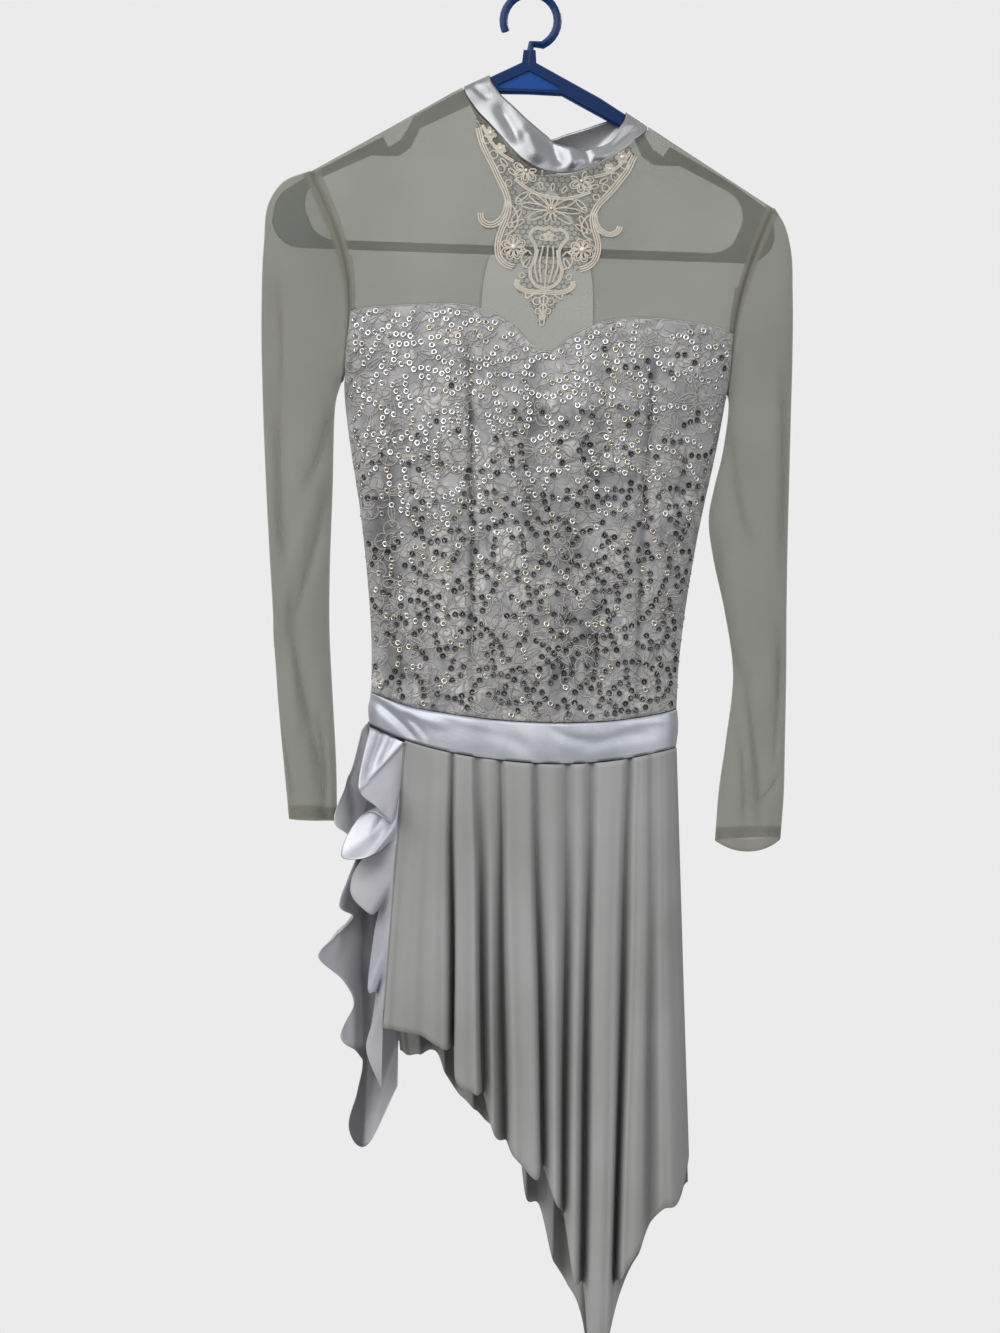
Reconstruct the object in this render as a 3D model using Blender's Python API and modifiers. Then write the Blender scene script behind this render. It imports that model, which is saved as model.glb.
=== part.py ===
"""A sequinned dance dress with sheer sleeves, a side ruffle and a slanting hem, on a plastic hanger.

Run with: blender --background --python part.py
The front faces -Y and +Z is up. The origin is where a rail touches the inside of the hook.
Sizes are in millimetres up to the point where a mesh is filled in, in metres. The dress hangs a
little to one side: its own x is HANGER_MIDDLE_X at the hanger's middle.
"""

import math

import bmesh
import bpy
import numpy as np
from mathutils import Vector

MM = 0.001

# Cloth
WALL = 1.0
SEAM_GAP = 0.4
SIDE_SEAM_Y = 0.7
MIDDLE_X = 20.0

# Hanger
APEX_Z = -52.0
ARM_SLOPE = 0.5
ARM_DROOP = 0.1
ARM_DROOP_FROM = 60.0
HANGER_MIDDLE_X = 6.0
HANGER_HALF = 209.0
HANGER_THICK = 6.6
HANGER_EDGE = 1.2
HANGER_END_RADIUS = 24.0
ARM_DEEP = 12.0
NOTCH_START = 98.0
NOTCH_END = 122.0
NOTCH_DEEP = 15.0
POCKET_DEEP = 1.9
POCKET_EDGE = 0.2
BAR_TOP_Z = -207.0
BAR_BOTTOM_Z = -214.0
HOOK_WIRE = 7.0
HOOK_INNER = 19.0
CLOTH_OVER_ARM = 1.9

# Dress
SHOULDER_LEFT_X = -172.0
SHOULDER_RIGHT_X = 213.0
UNDERARM_HALF = 160.0
UNDERARM_Z = -324.0
ARMHOLE_BOW_LEFT = 19.0
ARMHOLE_BOW_RIGHT = -10.0
ARMHOLE_DEEP = 14.0
ARM_CLEARANCE = 5.4

# Side seams: height and half width of the body, measured from MIDDLE_X
SIDE_SEAM = (
    ("z", "half"),
    (-324.0, 158.0),
    (-350.0, 155.5),
    (-385.0, 149.5),
    (-425.0, 142.0),
    (-475.0, 134.5),
    (-525.0, 129.0),
    (-570.0, 126.5),
    (-610.0, 127.5),
    (-640.0, 129.0),
)

# How far the middle of the front and of the back stands from the hanger's plane
BODY_DEPTH = (
    ("z", "front", "back"),
    (-60.0, 6.0, 6.0),
    (-110.0, 17.0, 14.0),
    (-150.0, 24.0, 19.0),
    (-200.0, 28.0, 22.0),
    (-260.0, 33.0, 25.0),
    (-320.0, 38.0, 27.0),
    (-375.0, 38.0, 26.0),
    (-440.0, 33.0, 23.0),
    (-510.0, 28.0, 20.0),
    (-575.0, 27.0, 21.0),
    (-640.0, 30.0, 25.0),
)
CUP_FORWARD = 7.0
CUP_APART = 62.0
CUP_Z = -332.0
CUP_WIDE = 46.0
CUP_HIGH = 50.0

# Top edge of the bodice front, a sweetheart line
SWEETHEART = (
    ("x", "z"),
    (-140.0, -268.0),
    (-110.0, -265.0),
    (-78.0, -263.0),
    (-48.0, -262.0),
    (-28.0, -264.5),
    (-10.0, -271.0),
    (8.0, -283.0),
    (25.0, -300.0),
    (42.0, -289.0),
    (60.0, -278.0),
    (80.0, -271.0),
    (106.0, -268.0),
    (138.0, -269.0),
    (164.0, -271.5),
    (190.0, -277.0),
)

# Top edge of the bodice back, scooped under the back opening
BACK_TOP_Z = -288.0
BACK_SCOOP = 52.0
BACK_SCOOP_HALF = 47.0
KEYHOLE_TOP_Z = -146.0
KEYHOLE_TOP_HALF = 2.0
KEYHOLE_HALF = 47.0
KEYHOLE_WIDEST = 0.72

# Waistband
BAND_EDGES = (
    ("x", "top", "bottom"),
    (-112.0, -579.0, -605.0),
    (-78.0, -590.0, -618.0),
    (-40.0, -596.0, -627.0),
    (2.0, -599.5, -632.0),
    (52.0, -600.0, -633.5),
    (100.0, -596.0, -628.5),
    (134.0, -589.5, -621.0),
    (150.0, -585.0, -617.0),
)
BAND_STANDS_OUT = 1.2

# Collar: each row is one section of the band, with its upper and lower edge. The front runs
# from the left neck corner to the right one and the back runs from there to the left one.
COLLAR_FRONT = (
    ("top_x", "top_y", "top_z", "low_x", "low_y", "low_z"),
    (-26.0, -5.4, -69.0, -47.0, -5.4, -79.5),
    (-18.0, -9.0, -82.0, -37.5, -9.5, -95.5),
    (-5.0, -12.5, -94.5, -23.0, -14.5, -111.5),
    (7.0, -15.5, -106.0, -9.0, -18.5, -127.0),
    (18.5, -18.5, -116.0, 3.0, -22.0, -140.0),
    (31.0, -21.0, -125.0, 17.0, -24.5, -148.0),
    (42.0, -22.0, -129.3, 31.0, -25.5, -151.0),
    (54.0, -21.0, -129.3, 45.0, -25.5, -150.0),
    (66.5, -18.5, -126.5, 60.0, -24.0, -143.5),
    (76.5, -14.5, -119.5, 76.0, -19.5, -133.0),
    (82.5, -10.0, -109.0, 90.5, -14.0, -121.5),
    (87.5, -5.4, -95.8, 105.5, -5.4, -106.6),
)
COLLAR_BACK = (
    ("top_x", "top_y", "top_z", "low_x", "low_y", "low_z"),
    (87.5, 5.4, -95.8, 105.5, 5.4, -106.6),
    (74.0, 9.0, -97.5, 88.0, 10.0, -116.0),
    (56.0, 12.0, -103.5, 66.0, 14.5, -127.0),
    (38.0, 14.0, -109.0, 43.0, 17.0, -136.0),
    (21.0, 15.0, -115.0, 20.0, 18.0, -143.0),
    (6.0, 14.5, -110.5, 0.0, 17.0, -136.5),
    (-7.0, 12.0, -99.0, -19.0, 14.0, -121.5),
    (-18.0, 8.5, -84.0, -36.0, 9.5, -99.5),
    (-26.0, 5.4, -69.0, -47.0, 5.4, -79.5),
)
COLLAR_OVER_ARM = (("y", "lift"), (-3.4, 1.6), (0.0, 2.3), (3.4, 1.6))
COLLAR_DROPS = (0.0, 0.33, 0.67, 1.0)
COLLAR_SWELL = 1.06

# The collar meets at its back on this section. The ends stop a small share of a section away.
COLLAR_SEAM = 4.0
COLLAR_END_SHARE = 0.03
YOKE_END_SHARE = 0.08

BUTTON_X = 20.5
BUTTON_Y = 20.4
BUTTON_Z = -129.0
BUTTON_RADIUS = 4.5
BUTTON_THICK = 2.4
BUTTON_TILT = 84.0
BUTTON_EDGE = 0.7

# Sleeves: each row is one ring, from its outer to its inner edge
SLEEVE_LEFT = (
    ("out_x", "out_z", "in_x", "in_z", "deep"),
    (-172.0, -151.0, -140.0, -324.0, 14.0),
    (-194.0, -160.5, -142.5, -331.0, 15.0),
    (-205.5, -178.0, -144.5, -339.0, 16.0),
    (-208.5, -212.0, -145.5, -352.0, 17.0),
    (-208.5, -270.0, -145.5, -376.0, 18.0),
    (-205.5, -332.0, -145.0, -406.0, 19.0),
    (-201.0, -396.0, -145.0, -438.0, 19.0),
    (-196.0, -456.0, -145.0, -478.0, 19.0),
    (-190.0, -520.0, -143.5, -530.0, 18.5),
    (-184.0, -586.0, -138.5, -590.0, 17.0),
    (-177.0, -642.0, -134.0, -642.0, 16.0),
    (-171.0, -688.0, -131.5, -688.0, 15.0),
)
SLEEVE_RIGHT = (
    ("out_x", "out_z", "in_x", "in_z", "deep"),
    (213.0, -171.5, 180.0, -324.0, 14.0),
    (222.0, -182.0, 181.5, -331.0, 15.0),
    (228.0, -202.0, 181.5, -340.0, 16.0),
    (231.0, -238.0, 180.5, -353.0, 17.0),
    (232.5, -286.0, 177.5, -376.0, 18.5),
    (233.0, -338.0, 172.0, -402.0, 20.0),
    (233.5, -392.0, 168.5, -428.0, 20.0),
    (234.0, -445.0, 173.0, -458.0, 19.5),
    (235.0, -502.0, 184.5, -504.0, 18.5),
    (236.5, -552.0, 193.0, -552.0, 17.5),
    (237.5, -612.0, 189.0, -612.0, 17.5),
    (238.0, -655.0, 184.5, -655.0, 17.0),
    (236.5, -690.0, 183.0, -694.0, 16.0),
)
CUFF_DIP_LEFT = 0.0
CUFF_DIP_RIGHT = 9.0

# A deep fold down the front of each sleeve: where it runs on each ring, as a share of the
# way from the outer to the inner edge, and how deep it is
SLEEVE_FOLD_LEFT = (
    ("ring", "share", "deep"),
    (0.0, 0.30, 0.0),
    (3.0, 0.24, 2.0),
    (5.0, 0.22, 5.0),
    (7.0, 0.26, 6.0),
    (9.0, 0.50, 5.5),
    (10.0, 0.72, 5.0),
    (11.0, 0.80, 4.0),
)
SLEEVE_FOLD_RIGHT = (
    ("ring", "share", "deep"),
    (0.0, 0.30, 0.0),
    (3.0, 0.45, 1.5),
    (5.0, 0.48, 2.0),
    (7.0, 0.40, 2.0),
    (9.0, 0.20, 3.5),
    (10.0, 0.34, 4.0),
    (11.0, 0.46, 4.0),
    (12.0, 0.56, 3.5),
)
FOLD_HALF_ANGLE = 0.34

# Skirt front: each row is the top of a fold, the foot of a groove or an edge.
# stands_out is how far it stands from the skirt's middle surface at the hem.
SKIRT_FRONT = (
    ("band_x", "hem_x", "hem_z", "stands_out"),
    (-76.0, -85.0, -851.0, 10.0),
    (-66.0, -71.0, -853.0, 12.0),
    (-54.0, -54.0, -856.0, 9.0),
    (-43.0, -36.0, -866.0, 11.0),
    (-37.0, -28.0, -869.0, -13.0),
    (-32.0, -24.0, -892.0, 9.0),
    (-23.0, -9.0, -901.0, 11.0),
    (-17.0, -2.0, -906.0, -13.0),
    (-6.0, 8.0, -936.0, -3.0),
    (3.0, 18.0, -944.0, -15.0),
    (9.0, 25.0, -951.0, 10.0),
    (24.0, 42.0, -968.0, 12.0),
    (31.0, 49.0, -964.0, -13.0),
    (44.0, 59.0, -986.0, 10.0),
    (57.0, 67.0, -1002.0, -13.0),
    (67.0, 76.0, -1048.0, 9.0),
    (77.0, 85.0, -1060.0, -15.0),
    (85.0, 91.0, -1106.0, 10.0),
    (99.0, 103.0, -1118.0, 12.0),
    (108.0, 110.0, -1062.0, -14.0),
    (114.0, 116.0, -1045.0, 8.0),
    (121.0, 128.0, -1024.0, 9.0),
    (127.0, 136.0, -1008.0, -6.0),
    (134.0, 147.0, -993.0, 6.0),
    (141.0, 161.0, -988.0, 5.0),
    (147.5, 170.0, -955.0, 0.0),
)
SKIRT_BACK = (
    ("band_x", "hem_x", "hem_z", "stands_out"),
    (-109.0, -74.0, -884.0, 3.0),
    (-98.0, -66.0, -889.0, 9.0),
    (-87.0, -56.0, -884.0, -9.0),
    (-74.0, -44.0, -885.0, 10.0),
    (-60.0, -35.0, -899.0, -10.0),
    (-46.0, -24.0, -920.0, 10.0),
    (-32.0, -10.0, -928.0, -11.0),
    (-18.0, 2.0, -944.0, 10.0),
    (-4.0, 14.0, -946.0, -11.0),
    (10.0, 28.0, -956.0, 11.0),
    (24.0, 37.0, -1002.0, -11.0),
    (38.0, 49.0, -1014.0, 10.0),
    (52.0, 61.0, -1052.0, -11.0),
    (64.0, 74.0, -1078.0, 11.0),
    (76.0, 86.0, -1096.0, -10.0),
    (87.0, 98.0, -1148.0, 12.0),
    (98.0, 108.0, -1126.0, -10.0),
    (110.0, 119.0, -1087.0, 10.0),
    (120.0, 133.0, -1042.0, -9.0),
    (130.0, 147.0, -1014.0, 9.0),
    (140.0, 160.0, -1000.0, -6.0),
    (147.5, 170.0, -978.0, 0.0),
)
SKIRT_MIDDLE_FRONT = 38.0
SKIRT_MIDDLE_BACK = 33.0
SKIRT_HALF_AT_HEM = 150.0
GATHER_AT_BAND = 0.16

# Side ruffle: two strips of bias satin, sewn to the open left edges of the skirt's front and
# back. Each row is one section: its height on the sewn edge, and its point on the free edge,
# which swings to and fro as it falls.
RUFFLE_FRONT = (
    ("sewn_z", "free_x", "free_y", "free_z"),
    (-620.6, -106.0, -10.0, -609.5),
    (-624.0, -110.0, -26.0, -634.0),
    (-632.0, -111.0, -42.0, -660.0),
    (-644.0, -95.0, -50.0, -673.0),
    (-655.0, -83.0, -48.0, -685.0),
    (-663.0, -104.0, -28.0, -678.0),
    (-669.0, -119.0, -29.0, -695.0),
    (-676.0, -124.0, -38.0, -714.5),
    (-682.0, -107.0, -50.0, -714.5),
    (-689.0, -95.0, -44.0, -709.5),
    (-697.0, -92.0, -24.0, -708.0),
    (-705.0, -107.0, -22.0, -717.0),
    (-711.0, -115.5, -25.0, -732.0),
    (-718.0, -114.5, -34.0, -747.0),
    (-728.0, -99.0, -41.0, -760.0),
    (-742.0, -93.0, -25.0, -759.0),
    (-754.0, -96.0, -24.0, -778.0),
    (-768.0, -99.0, -34.0, -821.0),
    (-790.0, -93.0, -34.0, -824.0),
    (-806.0, -93.0, -23.0, -829.0),
    (-818.0, -95.0, -30.0, -850.0),
    (-828.0, -98.0, -38.0, -872.0),
    (-838.0, -85.0, -34.0, -903.0),
)
RUFFLE_SIDE = (
    ("sewn_z", "free_x", "free_y", "free_z"),
    (-607.0, -113.0, -5.0, -612.0),
    (-618.0, -121.0, -15.0, -650.0),
    (-632.0, -132.0, -26.0, -685.0),
    (-650.0, -121.0, -13.0, -699.0),
    (-668.0, -113.0, -4.0, -712.0),
    (-690.0, -121.0, -16.0, -738.0),
    (-705.0, -126.0, -24.0, -757.0),
    (-720.0, -115.0, -8.0, -767.0),
    (-735.0, -128.0, -17.0, -783.0),
    (-750.0, -141.0, -26.0, -798.0),
    (-770.0, -121.0, -12.0, -819.0),
    (-790.0, -113.0, -6.0, -839.0),
    (-805.0, -121.0, -20.0, -864.0),
    (-822.0, -106.0, -10.0, -880.0),
    (-838.0, -103.0, -2.0, -893.0),
    (-852.0, -112.0, -14.0, -938.0),
    (-866.0, -97.0, -4.0, -956.0),
    (-876.0, -74.0, 6.0, -908.0),
)
RUFFLE_SEAM_GAP = 1.0

# Lace necklace: its right half, as distance from its own middle line and height above LACE_Z.
# Its upper edge follows the collar.
LACE_X = 29.0
LACE_Z = -156.0
LACE_REACH = 66.0
LACE_LEAN = -0.15
LACE_DRIFT = 0.045
LACE_THICK = 1.0
LACE_OFF_YOKE = 0.6
LACE_HALF = (
    ("across", "up"),
    (66.0, 30.0), (62.0, 20.0), (55.0, 8.0), (46.0, -6.0), (38.0, -18.0), (35.0, -27.0),
    (38.0, -34.0), (45.0, -38.0), (53.0, -37.0), (56.5, -32.0), (59.0, -38.0), (53.0, -44.5),
    (44.0, -45.5), (40.0, -49.0), (42.0, -57.0), (40.0, -66.0), (34.0, -73.0), (26.0, -76.0),
    (19.5, -71.0), (17.0, -77.0), (20.0, -86.0), (24.0, -94.0), (16.0, -97.0), (10.0, -98.0),
    (11.0, -105.0), (6.5, -112.0), (3.0, -121.0), (0.0, -123.0),
)
LACE_GAPS = (
    ("across", "up", "radius", "lobes"),
    (43.0, 12.0, 4.4, 3),
    (26.0, -10.0, 4.4, 3),
    (15.0, -32.0, 4.0, 3),
    (31.0, -58.0, 3.8, 4),
    (9.0, -57.0, 3.4, 3),
    (0.0, -12.0, 4.0, 4),
    (0.0, -82.0, 3.6, 4),
)

COLOURS = {
    "mesh": (0.31, 0.32, 0.28, 1.0),
    "satin": (0.55, 0.57, 0.65, 1.0),
    "sequins": (0.42, 0.42, 0.42, 1.0),
    "lace": (0.63, 0.57, 0.49, 1.0),
    "plastic": (0.02, 0.07, 0.33, 1.0),
    "pearl": (0.75, 0.73, 0.68, 1.0),
}
ROUGHNESS = {"mesh": 0.8, "satin": 0.35, "sequins": 0.35, "lace": 0.8, "plastic": 0.3, "pearl": 0.25}


def column(table, name):
    """One named column of a table as an array."""
    return np.array([row[table[0].index(name)] for row in table[1:]])


def through(xs, ys, x):
    """A smooth curve through the points (xs, ys), read at x. It is held level past the ends."""
    xs, ys = np.asarray(xs, float), np.asarray(ys, float)
    if xs[0] > xs[-1]:
        xs, ys = xs[::-1], ys[::-1]
    x = np.clip(np.asarray(x, float), xs[0], xs[-1])
    slopes = np.gradient(ys, xs)
    i = np.clip(np.searchsorted(xs, x) - 1, 0, len(xs) - 2)
    step = xs[i + 1] - xs[i]
    t = (x - xs[i]) / step
    start = (1 + 2 * t) * (1 - t) ** 2 * ys[i] + t * (1 - t) ** 2 * step * slopes[i]
    end = t**2 * (3 - 2 * t) * ys[i + 1] + t**2 * (t - 1) * step * slopes[i + 1]
    return start + end


def from_table(table, name, value, by="z"):
    return through(column(table, by), column(table, name), value)


def section_at(table, name, place):
    """A column read between its rows: place 0 is the first row, 1 the second and so on."""
    ys = column(table, name)
    return through(np.arange(len(ys)), ys, place)


def ease(t):
    """0 to 1 with a soft start and end."""
    t = np.clip(t, 0.0, 1.0)
    return t * t * (3 - 2 * t)


def arm_line(reach):
    """The upper edge of the hanger's arms, by the distance from its middle."""
    return APEX_Z - ARM_SLOPE * reach - ARM_DROOP * np.maximum(reach - ARM_DROOP_FROM, 0.0)


def arm_top(x):
    """The upper edge of the hanger's arms, in the dress's x."""
    return arm_line(np.abs(np.asarray(x) - HANGER_MIDDLE_X))


def shoulder_z(x):
    """The shoulder seams, just over the hanger."""
    return arm_top(x) + CLOTH_OVER_ARM


def armhole_x(z, side):
    """The armhole seam from the shoulder to the underarm. side is -1 on the left, 1 on the right."""
    top_x = SHOULDER_LEFT_X if side < 0 else SHOULDER_RIGHT_X
    bow = ARMHOLE_BOW_LEFT if side < 0 else ARMHOLE_BOW_RIGHT
    t = np.clip((shoulder_z(top_x) - z) / (shoulder_z(top_x) - UNDERARM_Z), 0.0, 1.0)
    low_x = MIDDLE_X + side * UNDERARM_HALF
    return top_x + (low_x - top_x) * t + bow * np.sin(math.pi * t)


def side_x(z, side):
    """The side edge of the front and the back: armhole above, side seam below."""
    seam = MIDDLE_X + side * from_table(SIDE_SEAM, "half", z)
    return np.where(np.asarray(z) > UNDERARM_Z, armhole_x(z, side), seam)


def body_depth(x, z, which):
    """How far the front or the back of the body stands from the hanger's plane at x, z."""
    x, z = np.asarray(x, float), np.asarray(z, float)
    left, right = side_x(z, -1), side_x(z, 1)
    u = np.clip((2 * x - left - right) / (right - left), -1.0, 1.0)
    lens = (1 - np.abs(u) ** 2.4) ** 0.5
    middle = from_table(BODY_DEPTH, which, z)
    side = np.where(x < MIDDLE_X, -1, 1)
    top = np.where(side < 0, shoulder_z(SHOULDER_LEFT_X), shoulder_z(SHOULDER_RIGHT_X))
    t = np.clip((top - z) / (top - UNDERARM_Z), 0.0, 1.0)
    edge = ARMHOLE_DEEP * (1 - np.abs(2 * t - 1) ** 2.6) ** (1 / 2.6)
    full = edge * (1 - lens) + np.maximum(middle, edge) * lens
    if which == "front":
        for cup in (-1, 1):
            across = (x - MIDDLE_X - cup * CUP_APART) / CUP_WIDE
            along = (z - CUP_Z) / CUP_HIGH
            full = full + CUP_FORWARD * lens * np.exp(-(across**2) - along**2)
    below = np.maximum(shoulder_z(x) - z, 0.0)
    over_hanger = ARM_CLEARANCE * ease((z - UNDERARM_Z) / 45.0)
    return over_hanger + (full - over_hanger) * (1 - np.exp(-below / 45.0))


def front_points(x, z):
    return np.stack([x, -body_depth(x, z, "front"), z], axis=-1)


def back_points(x, z):
    return np.stack([x, body_depth(x, z, "back"), z], axis=-1)


def between(start, end, shares):
    """Points from the arrays start to end at each share, as rows."""
    return start[None] + (end - start)[None] * np.asarray(shares)[:, None, None]


def material(slot):
    found = bpy.data.materials.get(slot)
    if found:
        return found
    made = bpy.data.materials.new(slot)
    made.use_nodes = True
    shader = made.node_tree.nodes["Principled BSDF"]
    shader.inputs["Base Color"].default_value = COLOURS[slot]
    shader.inputs["Roughness"].default_value = ROUGHNESS[slot]
    made.diffuse_color = COLOURS[slot]
    return made


def into_collection(obj, slot):
    bpy.data.collections["dance_dress"].objects.link(obj)
    if not obj.data.materials:
        obj.data.materials.append(material(slot))
    return obj


def cloth(name, points, slot, wall=WALL, ring=False):
    """A wall of cloth round a grid of points, in rows. A ring's last column meets its first."""
    rows, columns = points.shape[:2]
    form = bmesh.new()
    bmesh.ops.create_grid(form, x_segments=columns - 1, y_segments=rows - 1, size=1.0)
    form.verts.ensure_lookup_table()
    for vertex, place in zip(form.verts, points.reshape(-1, 3)):
        vertex.co = Vector((place[0] - HANGER_MIDDLE_X, place[1], place[2])) * MM
    if ring:
        bmesh.ops.remove_doubles(form, verts=form.verts, dist=0.01 * MM)
    mesh = bpy.data.meshes.new(name)
    form.to_mesh(mesh)
    form.free()
    mesh.shade_smooth()
    obj = into_collection(bpy.data.objects.new(name, mesh), slot)
    solid = obj.modifiers.new("wall", "SOLIDIFY")
    solid.thickness = wall * MM
    solid.offset = 0.0
    return obj


def sweetheart_z(x):
    return from_table(SWEETHEART, "z", x, by="x")


def collar_edge(table, edge, places):
    """Points on a collar's upper (top) or lower (low) edge."""
    return np.stack([section_at(table, f"{edge}_{axis}", places) for axis in "xyz"], axis=-1)


def panel_shares(count):
    """Shares across a panel, a little closer together where it turns at the side seams."""
    return 0.35 * (1 - np.cos(np.linspace(0.0, math.pi, count))) / 2 + 0.65 * np.linspace(0.0, 1.0, count)


def under_collar(table, places):
    """The yoke's edge along the collar's lower edge, one point for each section of the collar."""
    top, low = collar_edge(table, "top", places), collar_edge(table, "low", places)
    down = (low - top) / np.linalg.norm(low - top, axis=1)[:, None]
    return low + down * 2 * SEAM_GAP


def shoulder_columns(side, corner, sign):
    """The upper edge of a yoke over one arm of the hanger, from the armhole to the collar."""
    start = SHOULDER_LEFT_X if side < 0 else SHOULDER_RIGHT_X
    corner_x = corner[0] + side * SEAM_GAP
    x = np.append(np.linspace(start - side * SEAM_GAP, corner_x + side * 4.0, 6), corner_x)
    z = shoulder_z(x)
    y = np.full(len(x), sign * SEAM_GAP)
    y[-1], z[-1] = sign * 3.9, z[-1] - 0.7
    return np.stack([x, y, z], axis=-1)


def yoke_rows(top, low_x, low_z, is_shoulder, which, bend):
    """Rows of a yoke from its upper edge down. bend shapes the columns near the open edges."""
    drops = (0.0, 0.02, 0.07, 0.18, 0.36, 0.56, 0.78, 1.0)
    sign = -1 if which == "front" else 1
    points = np.zeros((len(drops), len(top), 3))
    for row, drop in enumerate(drops):
        x = top[:, 0] + (low_x - top[:, 0]) * drop
        z = top[:, 2] + (low_z - top[:, 2]) * drop
        x = bend(x, z)
        points[row] = np.stack([x, sign * body_depth(x, z, which), z], axis=-1)
    # The shoulder edge rolls over the hanger's arm, and the neck edge meets the collar
    points[0] = top
    points[1, is_shoulder, 1] = sign * np.maximum(4.4, np.abs(top[is_shoulder, 1]) + 1.3)
    points[1, is_shoulder, 2] = top[is_shoulder, 2] - 1.1
    at_neck = ~is_shoulder
    points[1, at_neck, 1] = 0.6 * top[at_neck, 1] + 0.4 * points[1, at_neck, 1]
    return points


def sweetheart_seam(gap):
    """The seam between the front yoke and the bodice, moved up by gap."""
    left, right = armhole_x(-268.0, -1) + SEAM_GAP, armhole_x(-276.0, 1) - SEAM_GAP
    x = left + (right - left) * panel_shares(26)
    return x, sweetheart_z(x) + gap


def front_yoke_points():
    """The sheer front between the collar, the shoulders, the armholes and the sweetheart line."""
    neck = under_collar(COLLAR_FRONT, np.arange(len(COLLAR_FRONT) - 1))
    left, right = shoulder_columns(-1, neck[0], -1), shoulder_columns(1, neck[-1], -1)
    top = np.concatenate([left, neck, right[::-1]])
    is_shoulder = np.array([True] * len(left) + [False] * len(neck) + [True] * len(right))
    low_x, low_z = sweetheart_seam(SEAM_GAP)
    shares = np.linspace(0.0, 1.0, len(top))

    def bend(x, z):
        edge_left = armhole_x(z[0], -1) + SEAM_GAP
        edge_right = armhole_x(z[-1], 1) - SEAM_GAP
        x = x + (edge_left - x[0]) * (1 - ease(shares * 4))
        return x + (edge_right - x[-1]) * (1 - ease((1 - shares) * 4))

    return yoke_rows(top, low_x, low_z, is_shoulder, "front", bend)


def keyhole_x(z, side):
    """The edge of the back opening, a drop that starts under the collar."""
    t = np.clip((KEYHOLE_TOP_Z - z) / (KEYHOLE_TOP_Z - BACK_TOP_Z), 0.0, 1.0)
    round_part = np.sin(math.pi * 0.5 * np.clip(t / KEYHOLE_WIDEST, 0.0, 1.0)) ** 0.8
    return MIDDLE_X + side * (KEYHOLE_TOP_HALF + (KEYHOLE_HALF - KEYHOLE_TOP_HALF) * round_part)


def back_top_z(x):
    """The upper edge of the bodice back, level at the sides and scooped in the middle."""
    across = np.clip(1 - (np.asarray(x) - MIDDLE_X) ** 2 / BACK_SCOOP_HALF**2, 0.0, 1.0)
    return BACK_TOP_Z - BACK_SCOOP * across**0.6


def back_yoke(side):
    """One half of the sheer back, from the armhole to the edge of the back opening."""
    corner_row = len(COLLAR_BACK) - 2.0 if side < 0 else 0.0
    near_seam = COLLAR_SEAM - side * YOKE_END_SHARE
    neck = under_collar(COLLAR_BACK, np.linspace(corner_row, near_seam, 9))
    shoulder = shoulder_columns(side, neck[0], 1)
    top = np.concatenate([shoulder, neck])
    is_shoulder = np.array([True] * len(shoulder) + [False] * len(neck))
    shares = np.linspace(0.0, 1.0, len(top))
    outer_low, inner_low = armhole_x(BACK_TOP_Z, side), keyhole_x(BACK_TOP_Z, side)
    low_x = outer_low + (inner_low - outer_low) * shares
    low_z = np.full(len(top), BACK_TOP_Z + SEAM_GAP)

    def bend(x, z):
        outer = armhole_x(z[0], side) - side * SEAM_GAP
        inner = keyhole_x(z[-1], side)
        x = x + (outer - x[0]) * (1 - ease(shares * 3))
        return x + (inner - x[-1]) * ease(shares * 3 - 2)

    points = yoke_rows(top, low_x, low_z, is_shoulder, "back", bend)
    return cloth("yoke_back_left" if side < 0 else "yoke_back_right", points, "mesh")


def bodice(which):
    """The sequinned front or back, from its upper edge to the waistband."""
    front = which == "front"
    shares = panel_shares(26 if front else 23)
    drops = np.linspace(0.0, 1.0, 10 if front else 9)
    if front:
        top_x, top_z = sweetheart_seam(-SEAM_GAP)
    else:
        left, right = armhole_x(BACK_TOP_Z, -1) + SEAM_GAP, armhole_x(BACK_TOP_Z, 1) - SEAM_GAP
        top_x = left + (right - left) * shares
        top_z = back_top_z(top_x) - SEAM_GAP
    low_x = side_x(-585.0, -1) + (side_x(-585.0, 1) - side_x(-585.0, -1)) * shares
    low_z = band_edge(low_x, "top", which) + SEAM_GAP
    points = np.zeros((len(drops), len(shares), 3))
    for row, drop in enumerate(drops):
        z = top_z + (low_z - top_z) * drop
        left = side_x(z, -1) + SEAM_GAP * (z > UNDERARM_Z)
        right = side_x(z, 1) - SEAM_GAP * (z > UNDERARM_Z)
        x = left + (right - left) * shares
        if row == 0:
            x = top_x
        points[row] = front_points(x, z) if front else back_points(x, z)
    sign = -1 if front else 1
    points[..., 1] = sign * np.maximum(np.abs(points[..., 1]), SIDE_SEAM_Y)
    return cloth(f"bodice_{which}", points, "sequins")


def band_edge(x, edge, which):
    """The waistband's edges. The back's run level from one side seam to the other."""
    left, right = column(BAND_EDGES, edge)[[0, -1]]
    level = left + (right - left) * (np.asarray(x) - side_x(-585.0, -1)) / (
        side_x(-585.0, 1) - side_x(-585.0, -1)
    )
    return from_table(BAND_EDGES, edge, x, by="x") if which == "front" else level


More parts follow.
